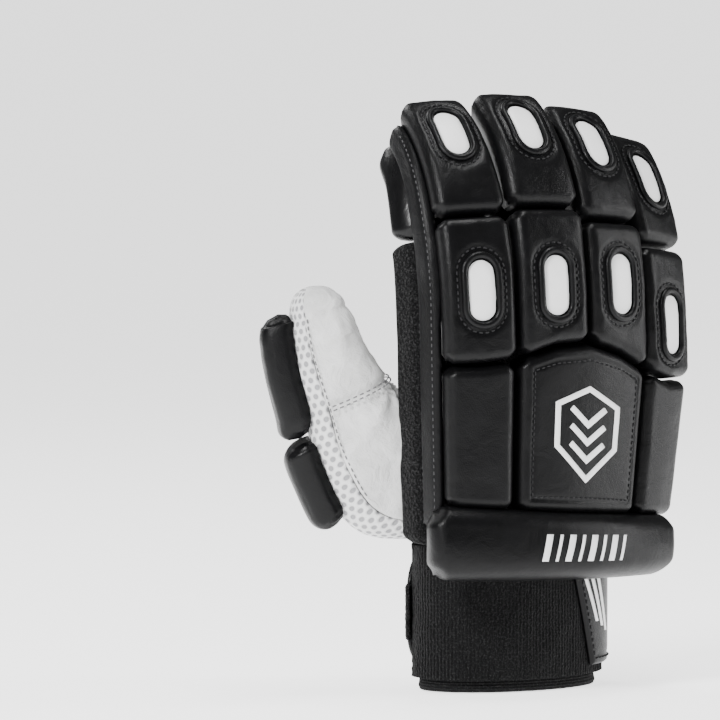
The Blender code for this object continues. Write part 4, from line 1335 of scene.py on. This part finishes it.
def thumb_axis():
    centres = [
        Vector((-r.reach * THUMB_REACH, r.depth * THUMB_DEPTH, r.height * THUMB_HEIGHT)) + SHIFT
        for r in THUMB_STATIONS
    ]
    back_angle = math.radians(THUMB_BACK_ANGLE)
    towards = Vector((-math.sin(back_angle), -math.cos(back_angle), 0.0))
    stations = []
    for k, (centre, row) in enumerate(zip(centres, THUMB_STATIONS)):
        along = (centres[min(k + 1, len(centres) - 1)] - centres[max(k - 1, 0)]).normalized()
        back = (towards - towards.dot(along) * along).normalized()
        stations.append(
            (centre, back, along.cross(back), along, row.back * THUMB_HALF, row.across * THUMB_HALF)
        )
    return stations


STATIONS = thumb_axis()


def thumb_at(share):
    """The thumb's frame at a share of its stations, along a smooth curve through them."""
    position = share * (len(STATIONS) - 1)
    k = min(int(position), len(STATIONS) - 2)
    f = position - k
    mixed = []
    if f > 1.0:
        centre, back, across, along, deep, wide = STATIONS[-1]
        return [centre + along * (f - 1) * 0.03, back, across, along, deep, wide]
    for part in range(6):
        a, b = STATIONS[k][part], STATIONS[k + 1][part]
        before, after = STATIONS[max(k - 1, 0)][part], STATIONS[min(k + 2, len(STATIONS) - 1)][part]
        start, end = (b - before) * 0.5, (after - a) * 0.5
        mixed.append(
            a * (
                2 * f**3 - 3 * f**2 + 1
            ) + start * (f**3 - 2 * f**2 + f) + b * (3 * f**2 - 2 * f**3) + end * (f**3 - f**2)
        )
    return mixed


def thumb_point(station, angle, proud=0.0):
    centre, back, across, _, deep, wide = station
    power = 2 / THUMB_SQUARENESS
    return centre + back * (deep + proud) * signed_power(
        math.cos(angle), power
    ) + across * (wide + proud) * signed_power(math.sin(angle), power)


def thumb_shell(name, node_name, angles, material, lift):
    """A panel of the thumb between two seams, closed by a dome at the tip."""
    rows = [[thumb_point(thumb_at(share), angle) for angle in angles] for share in spread(0.04, 1.0, 64)]
    centre, _, _, along, deep, _ = STATIONS[-1]
    edge = rows[-1]
    for step in range(1, 14):
        angle = math.pi / 2 * step / 14
        rows.append(
            [centre + (p - centre) * math.cos(angle) + along * deep * 0.97 * math.sin(angle) for p in edge]
        )
    rows.append([centre + (p - centre) * 0.02 + along * deep * 0.97 for p in edge])
    shell(
        name, rows, 0.0016, material, lift=lambda i, j, p: lift(i / (len(rows) - 1), j, p), stands_for=node_name
    )


def thumb_folds(share, j, p):
    """Folds that fan out from the crotch of the thumb, and the step at the cross seam."""
    across = (j / 40 - 0.56) * 0.068
    down = (0.372 - share) * 0.19
    reach = math.hypot(across, down)
    crest = 1 - abs(math.sin(math.atan2(down, -across) * 4.6 + 0.5)) ** 0.6
    fan = crest * smooth(reach / 0.005) * math.exp(-reach / 0.030) * smooth(down / 0.003)
    step = 0.0012 * (smooth((share - 0.382) / 0.006) - 1) * ridge(share - 0.385, 0.05)
    return ripple(p, 65, 0.0013) + ripple(p, 210, 0.0007) + 0.0042 * fan + step * 1.6


def build_thumb():
    start, end = (math.radians(angle) for angle in THUMB_SEAMS)
    seam = SEAM_GAP * 2 / THUMB_HALF
    thumb_shell("thumb_panel", "thumb_leather", spread(start + seam, end - seam, 41), WHITE, thumb_folds)
    thumb_shell("thumb_air_mesh", "thumb_mesh", spread(end, start + 2 * math.pi, 41), MESH, waves(90, 0.0008))

    def seam_point(share, angle):
        station = thumb_at(share)
        p = thumb_point(station, angle, 0.0010)
        return p, (p - station[0]).normalized()

    lines = [
        [seam_point(share, angle) for share in spread(0.22, 0.99, 70)]
        for angle in (start + 0.10, end - 0.10)
    ]
    lines += [
        [seam_point(share, angle) for angle in spread(start + 0.12, end - 0.12, 44)]
        for share in (0.470, 0.482)
    ]
    stitches("thumb_stitches", lines, SEAM_THREAD, length=0.0020, pitch=0.0032, width=0.00036)


def thumb_pad(name, node_name, start, end):
    def place(i, j, n):
        centre, back, across, _, deep, wide = thumb_at(start + (end - start) * j)
        side = (2 * i - 1) * THUMB_PAD_SHARE
        skin = deep * (1 - abs(side) ** THUMB_SQUARENESS) ** (1 / THUMB_SQUARENESS)
        seat = skin + (max(skin, deep * 0.93) - skin) * min(1.0, n / (THUMB_PAD_THICKNESS * 0.3))
        return centre + back * (seat + SEAM_GAP * 4 + n) + across * side * wide

    def height(i, j):
        wide, long = 0.036, (end - start) * 0.19
        side = rounded(min(i, 1 - i) * wide, 0.0075, 2.1)
        ends = rounded(min(j, 1 - j) * long, 0.0075, 2.1)
        fold = noise.noise(Vector((i * 4, j * long * 70, start * 9)))
        return THUMB_PAD_THICKNESS * (0.3 + 0.7 * side * ends) + 0.0003 * fold * side * ends

    pad(name, node_name, place, height, even(33, 0.4), even(49, 0.4), BLACK)


# Cuff

def build_cuff():
    count = 360
    angles = spread(0.0, 2 * math.pi, count + 1)
    rows = [[cuff_point(angle, z) for angle in angles] for z in spread(CUFF_FOOT, CUFF_TOP, 40)]

    def loops(i, j, p):
        rib = 0.5 + 0.5 * math.cos(2 * math.pi * (j % count) / 3)
        return -0.0002 * rib + ripple(p, 700, 0.0004) + ripple(p, 90, 0.0006)

    shell("cuff_towelling", rows, TOWEL_WALL, TOWEL, closed=True, lift=loops, stands_for="cuff_band")
    angles = spread(0.0, 2 * math.pi, 145)
    proud = -TOWEL_WALL - SEAM_GAP * 2
    rows = [
        [
            cuff_point(angle, z, proud + (0.0022 * (1 - rounded(z, 0.0075)) if z > 0.0 else 0.0))
            for angle in angles
        ]
        for z in spread(0.0, HEM_HEIGHT, 14)
    ]
    shell("cuff_hem_band", rows, 0.0025, RIB, closed=True, lift=waves(300, 0.0002), stands_for="cuff_hem")


def strap_place(share, up, lift):
    """A point on the strap: share runs from root to free end, and up from lower to upper edge."""
    start, free = math.radians(STRAP_START), math.radians(STRAP_FREE_END)
    angle = start + (free - start) * share
    slant = math.radians(STRAP_SLANT) * (1 - share) ** 2
    rounding = max(0.0, (share - 0.9) / 0.1)
    inset = STRAP_WIDTH * 0.5 * (1 - math.sqrt(max(0.0, 1 - (rounding * 0.97) ** 2)))
    z = STRAP_FOOT + inset + (STRAP_WIDTH - 2 * inset) * up
    return cuff_point(angle + slant * (1 - up), z, SEAM_GAP * 2 + lift)


def strap_lift(share, up):
    from_side, from_end = min(up, 1 - up) * STRAP_WIDTH, min(share, 1 - share) * STRAP_LENGTH
    groove = 0.0004 * ridge(min(from_side, from_end) - 0.0046, 0.0008)
    return STRAP_WALL * (0.45 + 0.55 * rounded(from_side, 0.003, 2.2) * rounded(from_end, 0.003, 2.2)) - groove


def on_strap(share, up, lift=0.0):
    p = strap_place(share, up, strap_lift(share, up) + lift)
    return p, (strap_place(share, up, 0.004) - strap_place(share, up, 0.0)).normalized()


def build_strap():
    shares = spread(0.0, 0.9, 110) + spread(0.905, 1.0, 20)
    ups = even(31, 0.4)
    rows = [[strap_place(share, up, strap_lift(share, up)) for share in shares] for up in ups]
    verts = [p for row in rows for p in row] + [strap_place(share, up, 0.0) for up in ups for share in shares]
    faces = slab_faces(len(ups), len(shares))
    finish_mesh("cuff_strap", verts, faces, BLACK, uvs=grid_uvs(rows) * 2, stands_for="strap")
    inset, seam_lift = 0.0030 / STRAP_WIDTH, 0.0002
    line = [on_strap(share, 1 - inset, seam_lift) for share in spread(0.015, 0.9, 120)]
    for a in spread(0.0, math.pi, 40)[1:]:
        line.append(on_strap(0.9 + 0.088 * math.sin(a), 0.5 + (0.5 - inset) * math.cos(a), seam_lift))
    line += [on_strap(share, inset, seam_lift) for share in spread(0.9, 0.015, 120)[1:]]
    lines = [line, [on_strap(0.015, up, seam_lift) for up in spread(0.08, 0.92, 24)]]
    stitches("strap_stitches", lines, BLACK_THREAD, length=0.0020, pitch=0.0030, width=0.00034)
    verts, faces = [], []

    def stripe(*edges):
        """A flat raised band on the strap between two edges, each given by its two ends in share and height."""

        def place(share, side, lift):
            low, high = edges[side]
            return on_strap(low[0] + (high[0] - low[0]) * share, low[1] + (high[1] - low[1]) * share, lift)[0]

        flat_bar(verts, faces, place, 8, (0.0005, -0.0003))

    for k in range(3):
        low, high = 0.020 + 0.030 * k, 0.046 + 0.030 * k
        foot = 0.40 - 0.05 * k
        stripe(((high, foot), (low, 0.84)), ((high + 0.012, foot), (low + 0.012, 0.84)))
    for k in range(3):
        low = 0.60 + 0.052 * k
        stripe(((low, 0.22), (low + 0.036, 0.5)), ((low + 0.024, 0.22), (low + 0.060, 0.5)))
        stripe(((low + 0.036, 0.5), (low, 0.78)), ((low + 0.060, 0.5), (low + 0.024, 0.78)))
    finish_mesh("strap_stripes", verts, faces, PANEL)


def build_strap_tab():
    tab_start = math.radians(STRAP_FREE_END) + 0.02
    tab_end = tab_start + TAB_WIDTH / (CUFF_WIDTH / 2)
    middle, half = STRAP_FOOT + STRAP_WIDTH / 2, STRAP_WIDTH * 0.26
    rows = []
    for z in spread(middle - half, middle + half, 30):
        line = []
        for angle in spread(tab_start, tab_end, 18):
            side = rounded(min(angle - tab_start, tab_end - angle) * 0.046, 0.0016)
            ends = rounded(min(z - middle + half, middle + half - z), 0.003)
            line.append(cuff_point(angle, z, SEAM_GAP * 2 + STRAP_WALL * (0.5 + 0.5 * side * ends)))
        rows.append(line)
    shell("strap_loop_tab", rows, 0.0012, FLEECE, lift=waves(900, 0.0005), stands_for="strap_tab")


PARTS = [(index, part) for index in range(len(FINGERS)) for part in ("lower", "upper")]
for index, part in PARTS:
    build_roll(index, part)
vent_lines = [build_vent(index, part) for index, part in PARTS]
stitches("vent_stitches", vent_lines, BLACK_THREAD, length=0.0018, pitch=0.0029)
build_emblem(*build_blocks())
build_wrist_roll()
for index in range(len(FINGERS)):
    build_sleeve(index)
    build_net(index)
    build_hood(index)
build_palm()
build_back()
build_side_padding()
build_thumb()
thumb_pad("thumb_pad_base", "thumb_roll_lower", 0.215, 0.412)
thumb_pad("thumb_pad_tip", "thumb_roll_upper", 0.425, 1.02)
build_cuff()
build_strap()
build_strap_tab()


# Floor, light and camera

def build_stage():
    floor_material = new_material("floor", (0.85, 0.85, 0.85), 0.8, specular=0.1)
    shader = floor_material.node_tree.nodes["Principled BSDF"]
    shader.inputs["Emission Color"].default_value = (1.0, 1.0, 1.0, 1.0)
    shader.inputs["Emission Strength"].default_value = 1.9
    half = 40.0
    mesh = bpy.data.meshes.new("floor")
    mesh.from_pydata(
        [(-half, -half, -0.0005), (half, -half, -0.0005), (half, half, -0.0005), (-half, half, -0.0005)], [],
        [(0, 1, 2, 3)],
    )
    mesh.materials.append(floor_material)
    floor = bpy.data.objects.new("floor", mesh)
    bpy.context.scene.collection.objects.link(floor)
    world = bpy.data.worlds.new("studio")
    bpy.context.scene.world = world
    world.use_nodes = True
    background = world.node_tree.nodes["Background"]
    background.inputs["Color"].default_value = (1.0, 1.0, 1.0, 1.0)
    background.inputs["Strength"].default_value = 0.15


def area_light(name, place, aim, size, power):
    data = bpy.data.lights.new(name, "AREA")
    data.shape = "RECTANGLE"
    data.size, data.size_y = size
    data.energy = power
    lamp = bpy.data.objects.new(name, data)
    lamp.location = place
    lamp.rotation_euler = (Vector(aim) - Vector(place)).to_track_quat("-Z", "Y").to_euler()
    bpy.context.scene.collection.objects.link(lamp)


VIEW_AZIMUTH = -25.0
VIEW_ELEVATION = 4.5
VIEW_DISTANCE = 3.2
FRAME_WIDTH = 0.3254
AIM = Vector((-0.0590, 0.0275, 0.150)) + SHIFT


def build_camera():
    azimuth, elevation = math.radians(VIEW_AZIMUTH), math.radians(VIEW_ELEVATION)
    back = Vector(
        (math.sin(azimuth) * math.cos(elevation), -math.cos(azimuth) * math.cos(elevation), math.sin(elevation))
    )
    data = bpy.data.cameras.new("camera")
    data.sensor_width = 36.0
    data.lens = 36.0 * VIEW_DISTANCE / FRAME_WIDTH
    data.clip_start = 0.05
    data.clip_end = 20.0
    camera = bpy.data.objects.new("camera", data)
    camera.location = AIM + back * VIEW_DISTANCE
    camera.rotation_euler = back.to_track_quat("Z", "Y").to_euler()
    bpy.context.scene.collection.objects.link(camera)
    bpy.context.scene.camera = camera


build_stage()
area_light("key_light", (-1.05, -0.55, 0.95), (0.0, 0.0, 0.15), (0.26, 0.40), 27.0)
area_light("fill_light", (1.15, -0.45, 0.45), (0.0, 0.0, 0.15), (0.14, 0.90), 9.0)
area_light("top_light", (0.1, -0.05, 1.25), (0.0, 0.0, 0.14), (0.6, 0.2), 9.0)
area_light("back_light", (-0.3, 1.0, 0.9), (0.0, 0.0, 0.14), (0.5, 0.5), 7.0)
build_camera()
